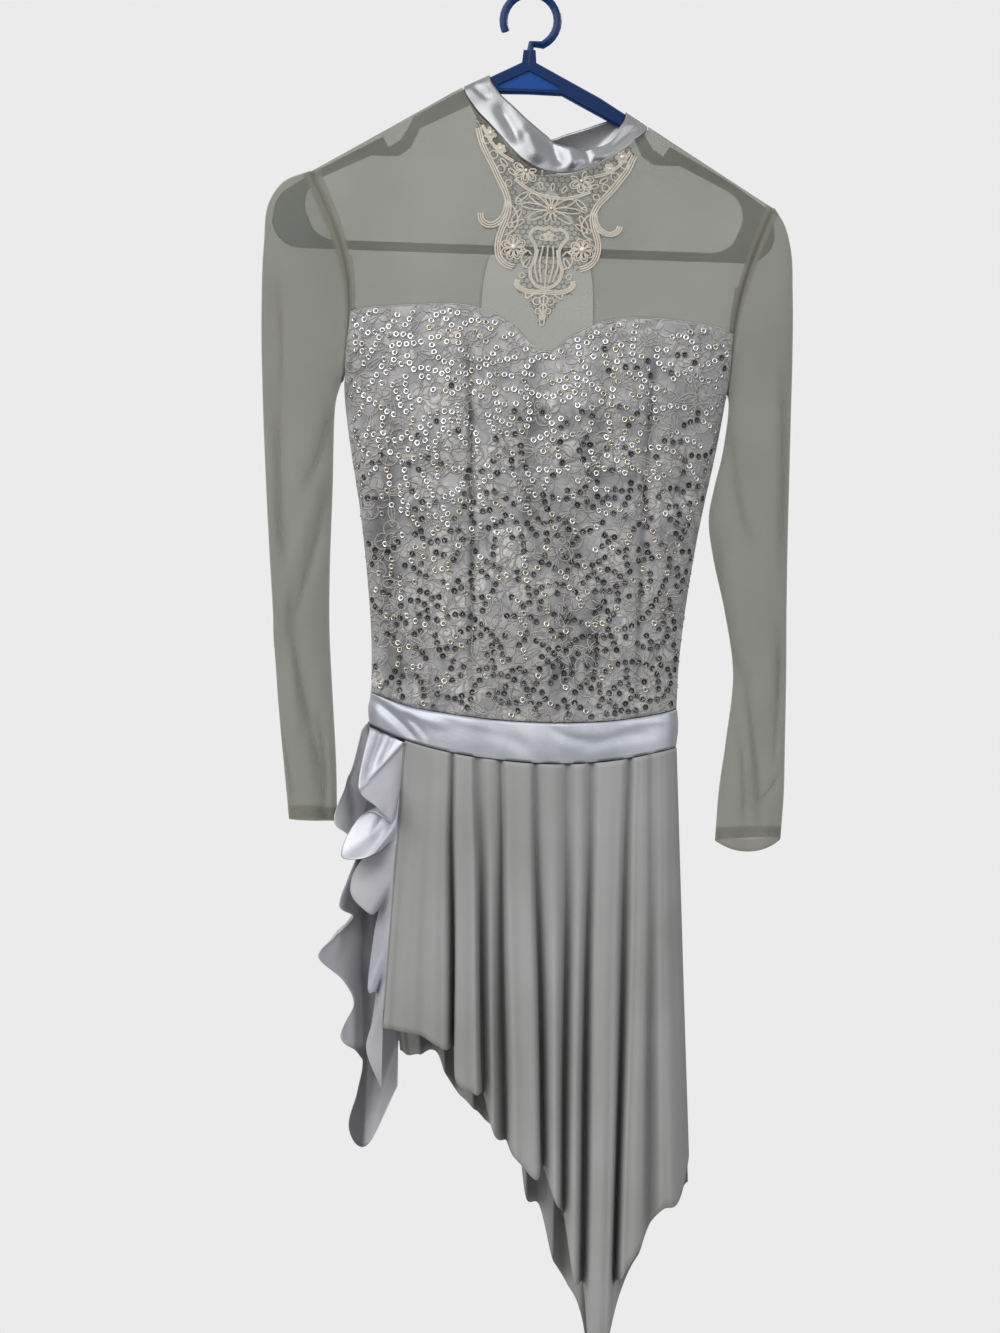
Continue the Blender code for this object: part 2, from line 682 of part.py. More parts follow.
def waistband(which):
    sign, columns = (-1, 27) if which == "front" else (1, 21)
    shares = panel_shares(columns)
    points = np.zeros((4, columns, 3))
    for row, drop in enumerate(np.linspace(0.0, 1.0, 4)):
        x = side_x(-600.0, -1) + (side_x(-600.0, 1) - side_x(-600.0, -1)) * shares
        x = MIDDLE_X + (x - MIDDLE_X) * (1 + 0.012 * math.sin(math.pi * drop))
        top, low = band_edge(x, "top", which), band_edge(x, "bottom", which)
        z = top - SEAM_GAP + (low - top + 2 * SEAM_GAP) * drop
        depth = body_depth(x, z, which) + BAND_STANDS_OUT * math.sin(math.pi * drop)
        points[row] = np.stack([x, sign * np.maximum(depth, SIDE_SEAM_Y + 0.3), z], axis=-1)
    return cloth(f"waistband_{which}", points, "satin", wall=1.3)


def collar():
    """The satin neck band: one strip that droops in front and behind and meets at the back."""
    left_corner, right_corner = len(COLLAR_BACK) - 2.0, 0.0
    runs = (
        (COLLAR_BACK, np.linspace(COLLAR_SEAM + COLLAR_END_SHARE, left_corner, 9)),
        (None, COLLAR_FRONT[1]),
        (COLLAR_FRONT, np.arange(len(COLLAR_FRONT) - 1)),
        (None, COLLAR_FRONT[-1]),
        (COLLAR_BACK, np.linspace(right_corner, COLLAR_SEAM - COLLAR_END_SHARE, 9)),
    )
    sections = []
    for table, places in runs:
        if table is None:
            # At a neck corner the band goes over the arm of the hanger
            over = COLLAR_OVER_ARM[:0:-1] if places[0] < 0 else COLLAR_OVER_ARM[1:]
            top, low = (
                np.array([[x, y, arm_top(x) + lift] for y, lift in over]) for x in (places[0], places[3])
            )
        else:
            top, low = collar_edge(table, "top", places), collar_edge(table, "low", places)
        sections.append(between(top, low, COLLAR_DROPS))
    strip = np.concatenate(sections, axis=1)
    strip[1:3, :, 1] *= COLLAR_SWELL
    return cloth("collar", strip, "satin", wall=1.2)


def collar_button():
    """The round button that closes the collar behind."""
    bpy.ops.mesh.primitive_cylinder_add(vertices=20, radius=BUTTON_RADIUS * MM, depth=BUTTON_THICK * MM)
    obj = bpy.context.object
    obj.name = "collar_button"
    obj.location = ((BUTTON_X - HANGER_MIDDLE_X) * MM, BUTTON_Y * MM, BUTTON_Z * MM)
    obj.rotation_euler = (math.radians(BUTTON_TILT), 0.0, 0.0)
    for owner in list(obj.users_collection):
        owner.objects.unlink(obj)
    bevel = obj.modifiers.new("round edge", "BEVEL")
    bevel.width = BUTTON_EDGE * MM
    bevel.segments = 2
    return into_collection(obj, "pearl")


def sleeve(side):
    """A tube from the armhole to the cuff, with one deep fold down its front."""
    left = side < 0
    table = SLEEVE_LEFT if left else SLEEVE_RIGHT
    folds = SLEEVE_FOLD_LEFT if left else SLEEVE_FOLD_RIGHT
    bow = ARMHOLE_BOW_LEFT if left else ARMHOLE_BOW_RIGHT
    dip = CUFF_DIP_LEFT if left else CUFF_DIP_RIGHT
    rings = len(table) - 1
    angles = np.linspace(0.0, 2 * math.pi, 25)
    points = np.zeros((rings, len(angles), 3))
    for ring in range(rings):
        out_x, out_z, in_x, in_z, deep = (column(table, name)[ring] for name in table[0])
        if ring == 0:
            out_z, in_z = float(shoulder_z(out_x)), UNDERARM_Z
        share = (1 - np.cos(angles)) / 2
        bend = bow * max(0.0, 1 - ring / 3.0) * np.sin(math.pi * share)
        x = out_x + (in_x - out_x) * share + bend
        z = out_z + (in_z - out_z) * share
        oval = deep * np.sign(np.sin(angles)) * np.abs(np.sin(angles)) ** 0.78
        fold_share = through(column(folds, "ring"), column(folds, "share"), ring)
        fold_deep = through(column(folds, "ring"), column(folds, "deep"), ring)
        fold_angle = math.acos(1 - 2 * fold_share)
        groove = fold_deep * np.exp(-(((angles - fold_angle) / FOLD_HALF_ANGLE) ** 2))
        y = -oval + groove
        if ring < 3:
            front = np.sin(angles) >= 0
            at_x, at_z = armhole_x(z, side), z
            seam_y = np.where(front, -body_depth(at_x, at_z, "front"), body_depth(at_x, at_z, "back"))
            seam_y = seam_y * (np.abs(np.sin(angles)) > 1e-6)
            keep = 1 - ease(ring / 3.0)
            y = seam_y * keep + y * (1 - keep)
        hem = dip * (ring / (rings - 1)) ** 6 * np.maximum(np.sin(angles), 0.0) ** 2
        points[ring] = np.stack([x, y, z - hem], axis=-1)
    points[0, :, 0] += side * SEAM_GAP
    points[:, -1] = points[:, 0]
    return cloth("sleeve_left" if left else "sleeve_right", points, "mesh", ring=True)


def skirt_points(which):
    """Half of the gathered skirt. Its folds deepen from the waistband to the slanting hem."""
    front = which == "front"
    table = SKIRT_FRONT if front else SKIRT_BACK
    sign = -1 if front else 1
    middle = SKIRT_MIDDLE_FRONT if front else SKIRT_MIDDLE_BACK
    rows_of_folds = len(table) - 2
    places = np.linspace(0.0, rows_of_folds, rows_of_folds * 3 + 1)
    band_x = section_at(table, "band_x", places)
    hem_x = section_at(table, "hem_x", places)
    hem_z = section_at(table, "hem_z", places)
    stands_out = section_at(table, "stands_out", places)
    band_z = band_edge(band_x, "bottom", which) - SEAM_GAP
    band_depth = body_depth(band_x, band_z, which)
    across = np.clip(np.abs(hem_x - MIDDLE_X) / SKIRT_HALF_AT_HEM, 0.0, 1.0)
    hem_lens = np.sqrt(np.clip(1 - across**3, 0.0, 1.0))
    drops = np.array([0.0, 0.08, 0.22, 0.42, 0.68, 1.0])
    points = np.zeros((len(drops), len(places), 3))
    for row, drop in enumerate(drops):
        x = band_x + (hem_x - band_x) * drop
        z = band_z + (hem_z - band_z) * drop
        share = GATHER_AT_BAND + (1 - GATHER_AT_BAND) * ease(drop * 1.25)
        mean = band_depth + (middle * hem_lens - band_depth) * ease(drop)
        depth = mean + stands_out * share * np.minimum(1.0, mean / 20.0)
        points[row] = np.stack([x, sign * np.maximum(depth, SIDE_SEAM_Y), z], axis=-1)
    return points


def ruffle(name, table, skirt_half):
    """A strip of satin that swings to and fro down the left hip, along one half of the skirt."""
    rows = len(table) - 1
    places = np.linspace(0.0, rows - 1, (rows - 1) * 2 + 1)
    sewn_z = section_at(table, "sewn_z", places)
    edge = skirt_half[:, 0]
    sewn_x = through(edge[:, 2], edge[:, 0], sewn_z) - RUFFLE_SEAM_GAP
    sewn_y = through(edge[:, 2], edge[:, 1], sewn_z)
    sewn = np.stack([sewn_x, sewn_y, sewn_z], axis=-1)
    free = np.stack([section_at(table, f"free_{a}", places) for a in "xyz"], axis=-1)
    strip = between(sewn, free, (0.0, 0.3, 0.65, 1.0))
    return cloth(name, strip, "satin")


def flat_outline(name, outlines, half_thickness, edge, slot):
    """A flat piece in the XZ plane from closed outlines in millimetres. Inner ones are holes."""
    data = bpy.data.curves.new(name, "CURVE")
    data.dimensions = "2D"
    data.fill_mode = "BOTH"
    data.extrude = (half_thickness - edge) * MM
    data.bevel_depth = edge * MM
    data.bevel_resolution = 0
    data.offset = -edge * MM
    for outline in outlines:
        spline = data.splines.new("POLY")
        spline.points.add(len(outline) - 1)
        for point, (x, z) in zip(spline.points, outline):
            point.co = (x * MM, z * MM, 0.0, 1.0)
        spline.use_cyclic_u = True
    obj = bpy.data.objects.new(name, data)
    obj.rotation_euler = (math.radians(90.0), 0.0, 0.0)
    return into_collection(obj, slot)


def as_mesh(obj):
    """The curve as a welded mesh object in its place."""
    bpy.context.view_layer.update()
    mesh = bpy.data.meshes.new_from_object(obj.evaluated_get(bpy.context.evaluated_depsgraph_get()))
    form = bmesh.new()
    form.from_mesh(mesh)
    bmesh.ops.remove_doubles(form, verts=form.verts, dist=0.01 * MM)
    form.to_mesh(mesh)
    form.free()
    made = bpy.data.objects.new(obj.name + "_mesh", mesh)
    made.matrix_world = obj.matrix_world
    bpy.data.collections["dance_dress"].objects.link(made)
    bpy.data.objects.remove(obj)
    return made


def into_cutters(obj):
    """Puts a mesh that cuts or joins another among the cutters, out of the model."""
    obj.hide_render = True
    obj.display_type = "WIRE"
    bpy.data.collections["cutters"].objects.link(obj)
    bpy.data.collections["dance_dress"].objects.unlink(obj)
    return obj


def arc(centre_x, centre_z, radius, start, end, count):
    """Points on an arc, with angles in degrees from +X."""
    turns = np.radians(np.linspace(start, end, count))
    return [(centre_x + radius * math.cos(t), centre_z + radius * math.sin(t)) for t in turns]


def mirrored(half):
    """A closed outline from its right half, given from the middle's top to the middle's foot."""
    return list(half) + [(-x, z) for x, z in reversed(half) if x > 0]


def hanger():
    """A moulded plastic hanger: arms with strap notches, broad ends, a bar, a neck web and a hook."""
    arm_degrees = math.degrees(math.atan(ARM_SLOPE))
    end_x, end_z = HANGER_HALF - HANGER_END_RADIUS, BAR_BOTTOM_Z + HANGER_END_RADIUS
    before_notch, after_notch = NOTCH_START - 10.0, NOTCH_END + 6.0
    arm_end = HANGER_HALF - 36.0
    outer = [
        (5.0, APEX_Z + 8.0),
        (6.0, APEX_Z - 2.5),
        (ARM_DROOP_FROM, arm_line(ARM_DROOP_FROM)),
        (NOTCH_START - 4.0, arm_line(NOTCH_START - 4.0)),
        (NOTCH_START + 1.0, arm_line(NOTCH_START) - NOTCH_DEEP * 0.55),
        (NOTCH_START + 7.0, arm_line(NOTCH_START) - NOTCH_DEEP - 3.0),
        (NOTCH_END - 8.0, arm_line(NOTCH_END) - NOTCH_DEEP * 0.62),
        (NOTCH_END - 3.0, arm_line(NOTCH_END) - 1.0),
        (arm_end, arm_line(arm_end)),
    ]
    outer += arc(end_x - 3.0, end_z + 3.0, HANGER_END_RADIUS + 2.0, 90.0 - arm_degrees, 0.0, 5)
    outer += arc(end_x, end_z, HANGER_END_RADIUS, -10.0, -90.0, 6)
    inner = [
        (0.0, APEX_Z - 28.0),
        (28.0, APEX_Z - 28.5),
        (before_notch, arm_line(before_notch) - ARM_DEEP),
        (NOTCH_START - 2.0, arm_line(NOTCH_START) - NOTCH_DEEP - 8.0),
        (NOTCH_START + 8.0, arm_line(NOTCH_START) - NOTCH_DEEP - 15.0),
        (NOTCH_END - 2.0, arm_line(NOTCH_END) - ARM_DEEP - 4.0),
        (after_notch, arm_line(after_notch) - ARM_DEEP),
    ]
    inner += arc(158.0, -176.0, 24.0, 62.0, -20.0, 5)
    inner += arc(156.0, BAR_TOP_Z + 24.0, 24.0, -40.0, -90.0, 4)
    outlines = [mirrored(outer), mirrored(inner)]
    plate = as_mesh(flat_outline("hanger_plate", outlines, HANGER_THICK / 2, HANGER_EDGE, "plastic"))

    # The web under the apex is thinner than its rim
    pocket = mirrored([(0.0, APEX_Z - 9.0), (26.0, APEX_Z - 22.0), (24.0, APEX_Z - 24.5)])
    for side in (-1, 1):
        cutter = as_mesh(flat_outline("web_pocket", [pocket], HANGER_THICK / 2, POCKET_EDGE, "plastic"))
        cutter.location.y = side * (HANGER_THICK - POCKET_DEEP) * MM
        into_cutters(cutter)
        cut = plate.modifiers.new("web pocket", "BOOLEAN")
        cut.operation = "DIFFERENCE"
        cut.object = cutter

    hook = bpy.data.curves.new("hook", "CURVE")
    hook.dimensions = "3D"
    hook.bevel_depth = HOOK_WIRE / 2 * MM
    hook.bevel_resolution = 2
    hook.use_fill_caps = True
    radius = HOOK_INNER + HOOK_WIRE / 2
    middle_z = -HOOK_INNER
    route = [(0.0, APEX_Z - 6.0), (0.0, APEX_Z + 2.0), (1.5, middle_z - radius + 3.0)]
    route += arc(0.0, middle_z, radius, -62.0, 205.0, 22)
    line = hook.splines.new("POLY")
    line.points.add(len(route) - 1)
    for point, (x, z) in zip(line.points, route):
        point.co = (x * MM, 0.0, z * MM, 1.0)
    hook_curve = bpy.data.objects.new("hook", hook)
    bpy.data.collections["dance_dress"].objects.link(hook_curve)
    hook_mesh = into_cutters(as_mesh(hook_curve))
    join = plate.modifiers.new("hook", "BOOLEAN")
    join.operation = "UNION"
    join.object = hook_mesh
    plate.name = "hanger"
    plate.data.materials.clear()
    plate.data.materials.append(material("plastic"))
    return plate


def petals(centre_x, centre_z, radius, count, deep, turn=0.0):
    """A flower's outline: a ring that swells once for each petal."""
    outline = []
    for step in range(count * 4):
        t = 2 * math.pi * step / (count * 4)
        reach = radius * (1 - deep + deep * math.cos(count * t))
        outline.append((centre_x + reach * math.cos(t + turn), centre_z + reach * math.sin(t + turn)))
    return outline


def lace_place(across, up):
    """A point of the lace in the dress's x and z. Its upper part leans with the collar, and its
    middle line drifts to the left on the way down."""
    lean = LACE_LEAN * across * min(max((up + 60.0) / 60.0, 0.0), 1.0)
    return LACE_X + across + LACE_DRIFT * up, LACE_Z + up + lean


def lace_necklace(yoke_points):
    """The corded lace under the collar: the yoke's own surface moved out and cut to shape."""
    along = np.linspace(0.0, len(COLLAR_FRONT) - 2.0, 60)
    edge = collar_edge(COLLAR_FRONT, "low", along)
    inside = np.abs(edge[:, 0] - LACE_X) < LACE_REACH
    outline = [(x, z - 2.0) for x, _, z in edge[inside][::4]]
    for across, up in LACE_HALF[1:]:
        outline.append(lace_place(across, up))
    outline += [lace_place(-across, up) for across, up in LACE_HALF[-2:0:-1]]
    outlines = [outline]
    for across, up, radius, lobes in LACE_GAPS[1:]:
        for side in (1, -1) if across else (1,):
            x, z = lace_place(side * across, up)
            outlines.append(petals(x, z, radius, lobes, 0.14))
    outlines = [[(x - HANGER_MIDDLE_X, z) for x, z in loop] for loop in outlines]
    prism = as_mesh(flat_outline("lace_prism", outlines, 45.0, 0.0, "lace"))
    prism.data.transform(prism.matrix_world)
    prism.matrix_world.identity()
    into_cutters(prism)

    out = WALL / 2 + LACE_OFF_YOKE + LACE_THICK / 2
    across_rows = np.gradient(yoke_points, axis=1)
    down_rows = np.gradient(yoke_points, axis=0)
    normals = np.cross(across_rows, down_rows)
    normals /= np.linalg.norm(normals, axis=-1)[..., None]
    normals *= -np.sign(normals[..., 1])[..., None]
    lace = cloth("lace_necklace", yoke_points + normals * out, "lace", wall=LACE_THICK)
    cut = lace.modifiers.new("outline", "BOOLEAN")
    cut.operation = "INTERSECT"
    cut.object = prism
    return lace


def main():
    for obj in list(bpy.data.objects):
        bpy.data.objects.remove(obj)
    for name in ("dance_dress", "cutters"):
        bpy.context.scene.collection.children.link(bpy.data.collections.new(name))
    bpy.data.collections["cutters"].hide_render = True
    hanger()
    collar()
    collar_button()
    yoke_points = front_yoke_points()
    cloth("yoke_front", yoke_points, "mesh")
    for side in (-1, 1):
        back_yoke(side)
        sleeve(side)
    for which, ruffle_name, table in (
        ("front", "ruffle_front", RUFFLE_FRONT),
        ("back", "ruffle_side", RUFFLE_SIDE),
    ):
        bodice(which)
        waistband(which)
        half = skirt_points(which)
        cloth(f"skirt_{which}", half, "mesh")
        ruffle(ruffle_name, table, half)
    lace_necklace(yoke_points)


main()
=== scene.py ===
"""The looks of a sequinned dance dress on a plastic hanger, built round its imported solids.

Cloth is drawn in millimetres on the same seams as its solids, more finely and with its creases, and
each mesh is written in metres. The front faces -Y and +Z is up. The dress hangs a little to one
side: its own x is HANGER_MIDDLE_X at the hanger's middle.
"""

import math

import bpy
import numpy as np
from mathutils import Matrix, Vector
from mathutils.bvhtree import BVHTree


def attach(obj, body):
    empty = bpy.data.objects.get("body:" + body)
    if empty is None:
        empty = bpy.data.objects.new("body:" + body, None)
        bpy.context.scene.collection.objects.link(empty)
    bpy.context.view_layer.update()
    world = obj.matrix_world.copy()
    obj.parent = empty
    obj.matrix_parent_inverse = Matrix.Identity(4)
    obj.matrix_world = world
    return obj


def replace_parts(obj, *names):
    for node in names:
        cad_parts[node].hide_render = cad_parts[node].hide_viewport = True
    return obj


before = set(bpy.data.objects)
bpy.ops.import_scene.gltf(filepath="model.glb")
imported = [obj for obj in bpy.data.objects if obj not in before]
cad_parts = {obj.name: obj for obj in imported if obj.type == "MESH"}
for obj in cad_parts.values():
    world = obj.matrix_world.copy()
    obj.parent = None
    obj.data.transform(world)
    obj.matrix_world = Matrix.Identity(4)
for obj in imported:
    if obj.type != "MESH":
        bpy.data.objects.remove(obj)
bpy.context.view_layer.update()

MM = 0.001
WALL = 0.5

# Rows and columns of the coarse grids
BODICE_COARSE = {"front": (10, 26), "back": (9, 23)}
BAND_COARSE = {"front": (4, 27), "back": (4, 21)}

# Rows and columns of the finer grids
YOKE_GRID = (85, 135)
BACK_YOKE_GRID = (54, 50)
SLEEVE_GRID = (160, 97)
BODICE_GRID = (120, 150)
BAND_GRID = (14, 160)
RUFFLE_GRID = (26, 220)
COLLAR_GRID = (16, 300)
SKIRT_ROWS = 56
SKIRT_COLUMNS_A_FOLD = 11

SEAM_GAP = 0.4
SIDE_SEAM_Y = 0.7
MIDDLE_X = 20.0

# Hanger
APEX_Z = -52.0
ARM_SLOPE = 0.5
ARM_DROOP = 0.1
ARM_DROOP_FROM = 60.0
HANGER_MIDDLE_X = 6.0
CLOTH_OVER_ARM = 1.9

# Dress
SHOULDER_LEFT_X = -172.0
SHOULDER_RIGHT_X = 213.0
UNDERARM_HALF = 160.0
UNDERARM_Z = -324.0
ARMHOLE_BOW_LEFT = 19.0
ARMHOLE_BOW_RIGHT = -10.0
ARMHOLE_DEEP = 14.0
ARM_CLEARANCE = 5.4

# Side seams: height and half width of the body, measured from MIDDLE_X
SIDE_SEAM = (
    ("z", "half"),
    (-324, 158), (-350, 155.5), (-385, 149.5), (-425, 142), (-475, 134.5), (-525, 129), (-570, 126.5),
    (-610, 127.5), (-640, 129),
)

# How far the middle of the front and of the back stands from the hanger's plane
BODY_DEPTH = (
    ("z", "front", "back"),
    (-60, 6, 6), (-110, 17, 14), (-150, 24, 19), (-200, 28, 22), (-260, 33, 25), (-320, 38, 27),
    (-375, 38, 26), (-440, 33, 23), (-510, 28, 20), (-575, 27, 21), (-640, 30, 25),
)
# How square the body's and the armhole's sections are, and how soon the cloth leaves the hanger
BODY_SQUARE = 2.4
ARMHOLE_SQUARE = 2.6
LEAVES_HANGER = 45.0
CUP_FORWARD = 7.0
CUP_APART = 62.0
CUP_Z = -332.0
CUP_WIDE = 46.0
CUP_HIGH = 50.0

SWEETHEART = (
    ("x", "z"),
    (-140, -268), (-110, -265), (-78, -263), (-48, -262), (-28, -264.5), (-10, -271), (8, -283), (25, -300),
    (42, -289), (60, -278), (80, -271), (106, -268), (138, -269), (164, -271.5), (190, -277),
)
# Where the sweetheart line meets the armholes
SWEETHEART_LEFT_Z = -268.0
SWEETHEART_RIGHT_Z = -276.0

BACK_TOP_Z = -288.0
BACK_SCOOP = 52.0
BACK_SCOOP_HALF = 47.0
KEYHOLE_TOP_Z = -146.0
KEYHOLE_TOP_HALF = 2.0
KEYHOLE_HALF = 47.0
KEYHOLE_WIDEST = 0.72

BAND_EDGES = (
    ("x", "top", "bottom"),
    (-112, -579, -605), (-78, -590, -618), (-40, -596, -627), (2, -599.5, -632), (52, -600, -633.5),
    (100, -596, -628.5), (134, -589.5, -621), (150, -585, -617),
)
BAND_STANDS_OUT = 1.2
BAND_BULGE = 0.012
BAND_TOP_Z = -585.0
BAND_MIDDLE_Z = -600.0

# Collar: each row is one section of the band, with its upper and lower edge
COLLAR_FRONT = (
    ("top_x", "top_y", "top_z", "low_x", "low_y", "low_z"),
    (-26, -5.4, -69, -47, -5.4, -79.5), (-18, -9, -82, -37.5, -9.5, -95.5),
    (-5, -12.5, -94.5, -23, -14.5, -111.5), (7, -15.5, -106, -9, -18.5, -127),
    (18.5, -18.5, -116, 3, -22, -140), (31, -21, -125, 17, -24.5, -148), (42, -22, -129.3, 31, -25.5, -151),
    (54, -21, -129.3, 45, -25.5, -150), (66.5, -18.5, -126.5, 60, -24, -143.5),
    (76.5, -14.5, -119.5, 76, -19.5, -133), (82.5, -10, -109, 90.5, -14, -121.5),
    (87.5, -5.4, -95.8, 105.5, -5.4, -106.6),
)
COLLAR_BACK = (
    ("top_x", "top_y", "top_z", "low_x", "low_y", "low_z"),
    (87.5, 5.4, -95.8, 105.5, 5.4, -106.6), (74, 9, -97.5, 88, 10, -116), (56, 12, -103.5, 66, 14.5, -127),
    (38, 14, -109, 43, 17, -136), (21, 15, -115, 20, 18, -143), (6, 14.5, -110.5, 0, 17, -136.5),
    (-7, 12, -99, -19, 14, -121.5), (-18, 8.5, -84, -36, 9.5, -99.5), (-26, 5.4, -69, -47, 5.4, -79.5),
)
COLLAR_OVER_ARM = (("y", "lift"), (-3.4, 1.6), (0.0, 2.3), (3.4, 1.6))
COLLAR_DROPS = (0.0, 0.33, 0.67, 1.0)
COLLAR_SWELL = 1.06
COLLAR_SEAM = 4.0
COLLAR_END_SHARE = 0.03
YOKE_END_SHARE = 0.08

# Sleeves: each row is one ring, from its outer to its inner edge
SLEEVE_LEFT = (
    ("out_x", "out_z", "in_x", "in_z", "deep"),
    (-172, -151, -140, -324, 14), (-194, -160.5, -142.5, -331, 15), (-205.5, -178, -144.5, -339, 16),
    (-208.5, -212, -145.5, -352, 17), (-208.5, -270, -145.5, -376, 18), (-205.5, -332, -145, -406, 19),
    (-201, -396, -145, -438, 19), (-196, -456, -145, -478, 19), (-190, -520, -143.5, -530, 18.5),
    (-184, -586, -138.5, -590, 17), (-177, -642, -134, -642, 16), (-171, -688, -131.5, -688, 15),
)
SLEEVE_RIGHT = (
    ("out_x", "out_z", "in_x", "in_z", "deep"),
    (213, -171.5, 180, -324, 14), (222, -182, 181.5, -331, 15), (228, -202, 181.5, -340, 16),
    (231, -238, 180.5, -353, 17), (232.5, -286, 177.5, -376, 18.5), (233, -338, 172, -402, 20),
    (233.5, -392, 168.5, -428, 20), (234, -445, 173, -458, 19.5), (235, -502, 184.5, -504, 18.5),
    (236.5, -552, 193, -552, 17.5), (237.5, -612, 189, -612, 17.5), (238, -655, 184.5, -655, 17),
    (236.5, -690, 183, -694, 16),
)
CUFF_DIP_LEFT = 0.0
CUFF_DIP_RIGHT = 9.0
SLEEVE_FOLD_LEFT = (
    ("ring", "share", "deep"),
    (0, 0.30, 0), (3, 0.24, 2), (5, 0.22, 5), (7, 0.26, 6), (9, 0.50, 5.5), (10, 0.72, 5), (11, 0.80, 4),
)
SLEEVE_FOLD_RIGHT = (
    ("ring", "share", "deep"),
    (0, 0.30, 0), (3, 0.45, 1.5), (5, 0.48, 2), (7, 0.40, 2), (9, 0.20, 3.5), (10, 0.34, 4), (11, 0.46, 4),
    (12, 0.56, 3.5),
)
FOLD_HALF_ANGLE = 0.34
SLEEVE_SQUARE = 0.78
# The first rings of a sleeve change from the armhole's shape to the sleeve's own
SLEEVE_JOIN_RINGS = 3

# Skirt: each row is the top of a fold, the foot of a groove or an edge
SKIRT_FRONT = (
    ("band_x", "hem_x", "hem_z", "stands_out"),
    (-76, -85, -851, 10), (-66, -71, -853, 12), (-54, -54, -856, 9), (-43, -36, -866, 11),
    (-37, -28, -869, -13), (-32, -24, -892, 9), (-23, -9, -901, 11), (-17, -2, -906, -13),
    (-6, 8, -936, -3), (3, 18, -944, -15), (9, 25, -951, 10), (24, 42, -968, 12), (31, 49, -964, -13),
    (44, 59, -986, 10), (57, 67, -1002, -13), (67, 76, -1048, 9), (77, 85, -1060, -15), (85, 91, -1106, 10),
    (99, 103, -1118, 12), (108, 110, -1062, -14), (114, 116, -1045, 8), (121, 128, -1024, 9),
    (127, 136, -1008, -6), (134, 147, -993, 6), (141, 161, -988, 5), (147.5, 170, -955, 0),
)
SKIRT_BACK = (
    ("band_x", "hem_x", "hem_z", "stands_out"),
    (-109, -74, -884, 3), (-98, -66, -889, 9), (-87, -56, -884, -9), (-74, -44, -885, 10),
    (-60, -35, -899, -10), (-46, -24, -920, 10), (-32, -10, -928, -11), (-18, 2, -944, 10),
    (-4, 14, -946, -11), (10, 28, -956, 11), (24, 37, -1002, -11), (38, 49, -1014, 10),
    (52, 61, -1052, -11), (64, 74, -1078, 11), (76, 86, -1096, -10), (87, 98, -1148, 12),
    (98, 108, -1126, -10), (110, 119, -1087, 10), (120, 133, -1042, -9), (130, 147, -1014, 9),
    (140, 160, -1000, -6), (147.5, 170, -978, 0),
)
SKIRT_MIDDLE_FRONT = 38.0
SKIRT_MIDDLE_BACK = 33.0
SKIRT_HALF_AT_HEM = 150.0
GATHER_AT_BAND = 0.24
# Folds: the lowest groove, the span up to the highest fold, and how broad their tops are
GROOVE_LOWEST = -16.0
FOLD_SPAN = 29.0
FOLD_BROAD = 1.7
# Grooves below NIP_BELOW are pinched by FOLD_NIP, over NIP_WIDE of the way to the next row
NIP_BELOW = -8.0
NIP_WIDE = 0.17
FOLD_NIP = 4.0
# The painted shade between the folds looks this many columns to each side, and is full at this depth
FOLD_REACH = 13
FOLD_DEEP = 22.0

# Side ruffle: height on the sewn edge, and the point on the free edge
RUFFLE_FRONT = (
    ("sewn_z", "free_x", "free_y", "free_z"),
    (-620.6, -106, -10, -609.5), (-624, -110, -26, -634), (-632, -111, -42, -660), (-644, -95, -50, -673),
    (-655, -83, -48, -685), (-663, -104, -28, -678), (-669, -119, -29, -695), (-676, -124, -38, -714.5),
    (-682, -107, -50, -714.5), (-689, -95, -44, -709.5), (-697, -92, -24, -708), (-705, -107, -22, -717),
    (-711, -115.5, -25, -732), (-718, -114.5, -34, -747), (-728, -99, -41, -760), (-742, -93, -25, -759),
    (-754, -96, -24, -778), (-768, -99, -34, -821), (-790, -93, -34, -824), (-806, -93, -23, -829),
    (-818, -95, -30, -850), (-828, -98, -38, -872), (-838, -85, -34, -903),
)
RUFFLE_SIDE = (
    ("sewn_z", "free_x", "free_y", "free_z"),
    (-607, -113, -5, -612), (-618, -121, -15, -650), (-632, -132, -26, -685), (-650, -121, -13, -699),
    (-668, -113, -4, -712), (-690, -121, -16, -738), (-705, -126, -24, -757), (-720, -115, -8, -767),
    (-735, -128, -17, -783), (-750, -141, -26, -798), (-770, -121, -12, -819), (-790, -113, -6, -839),
    (-805, -121, -20, -864), (-822, -106, -10, -880), (-838, -103, -2, -893), (-852, -112, -14, -938),
    (-866, -97, -4, -956), (-876, -74, 6, -908),
)
RUFFLE_SEAM_GAP = 1.0
RUFFLE_CREASES = (
    (-112, -704, -104, -796, 2, 3, -2.4), (-120, -742, -127, -800, -2, 4, 1.8),
    (-106, -796, -99, -896, 2, 3.2, -2.6), (-113, -826, -109, -930, 0, 3.5, 2),
    (-93, -880, -99, -944, 0, 3, -2.2), (-124, -640, -116, -694, 1, 3, -1.6),
)
FLAP_CREASES = (
    (-95, -608, -107, -652, -1, 3.2, -2.2), (-86, -612, -97, -640, 1, 2.4, -1.2),
    (-101, -700, -88, -672, 0, 3, -1.2),
)
# The ruffle's top flap is folded over along a slanting line
FLAP_X = -76.0
FLAP_Z = -621.0
FLAP_SLOPE = 1.14
FLAP_HIGH = 3.0
# Stretches of the ruffles, in rows of their tables, that show their matt back in front
MATTE_FRONT = ((2.4, 4.3), (10.0, 15.0), (19.0, 99.0))
MATTE_SIDE = ((3.6, 99.0),)
# The side ruffle is painted with deep shade below and to the left of these
RUFFLE_PAINTED_SHADE_X = -98.0
RUFFLE_PAINTED_SHADE_Z = -870.0

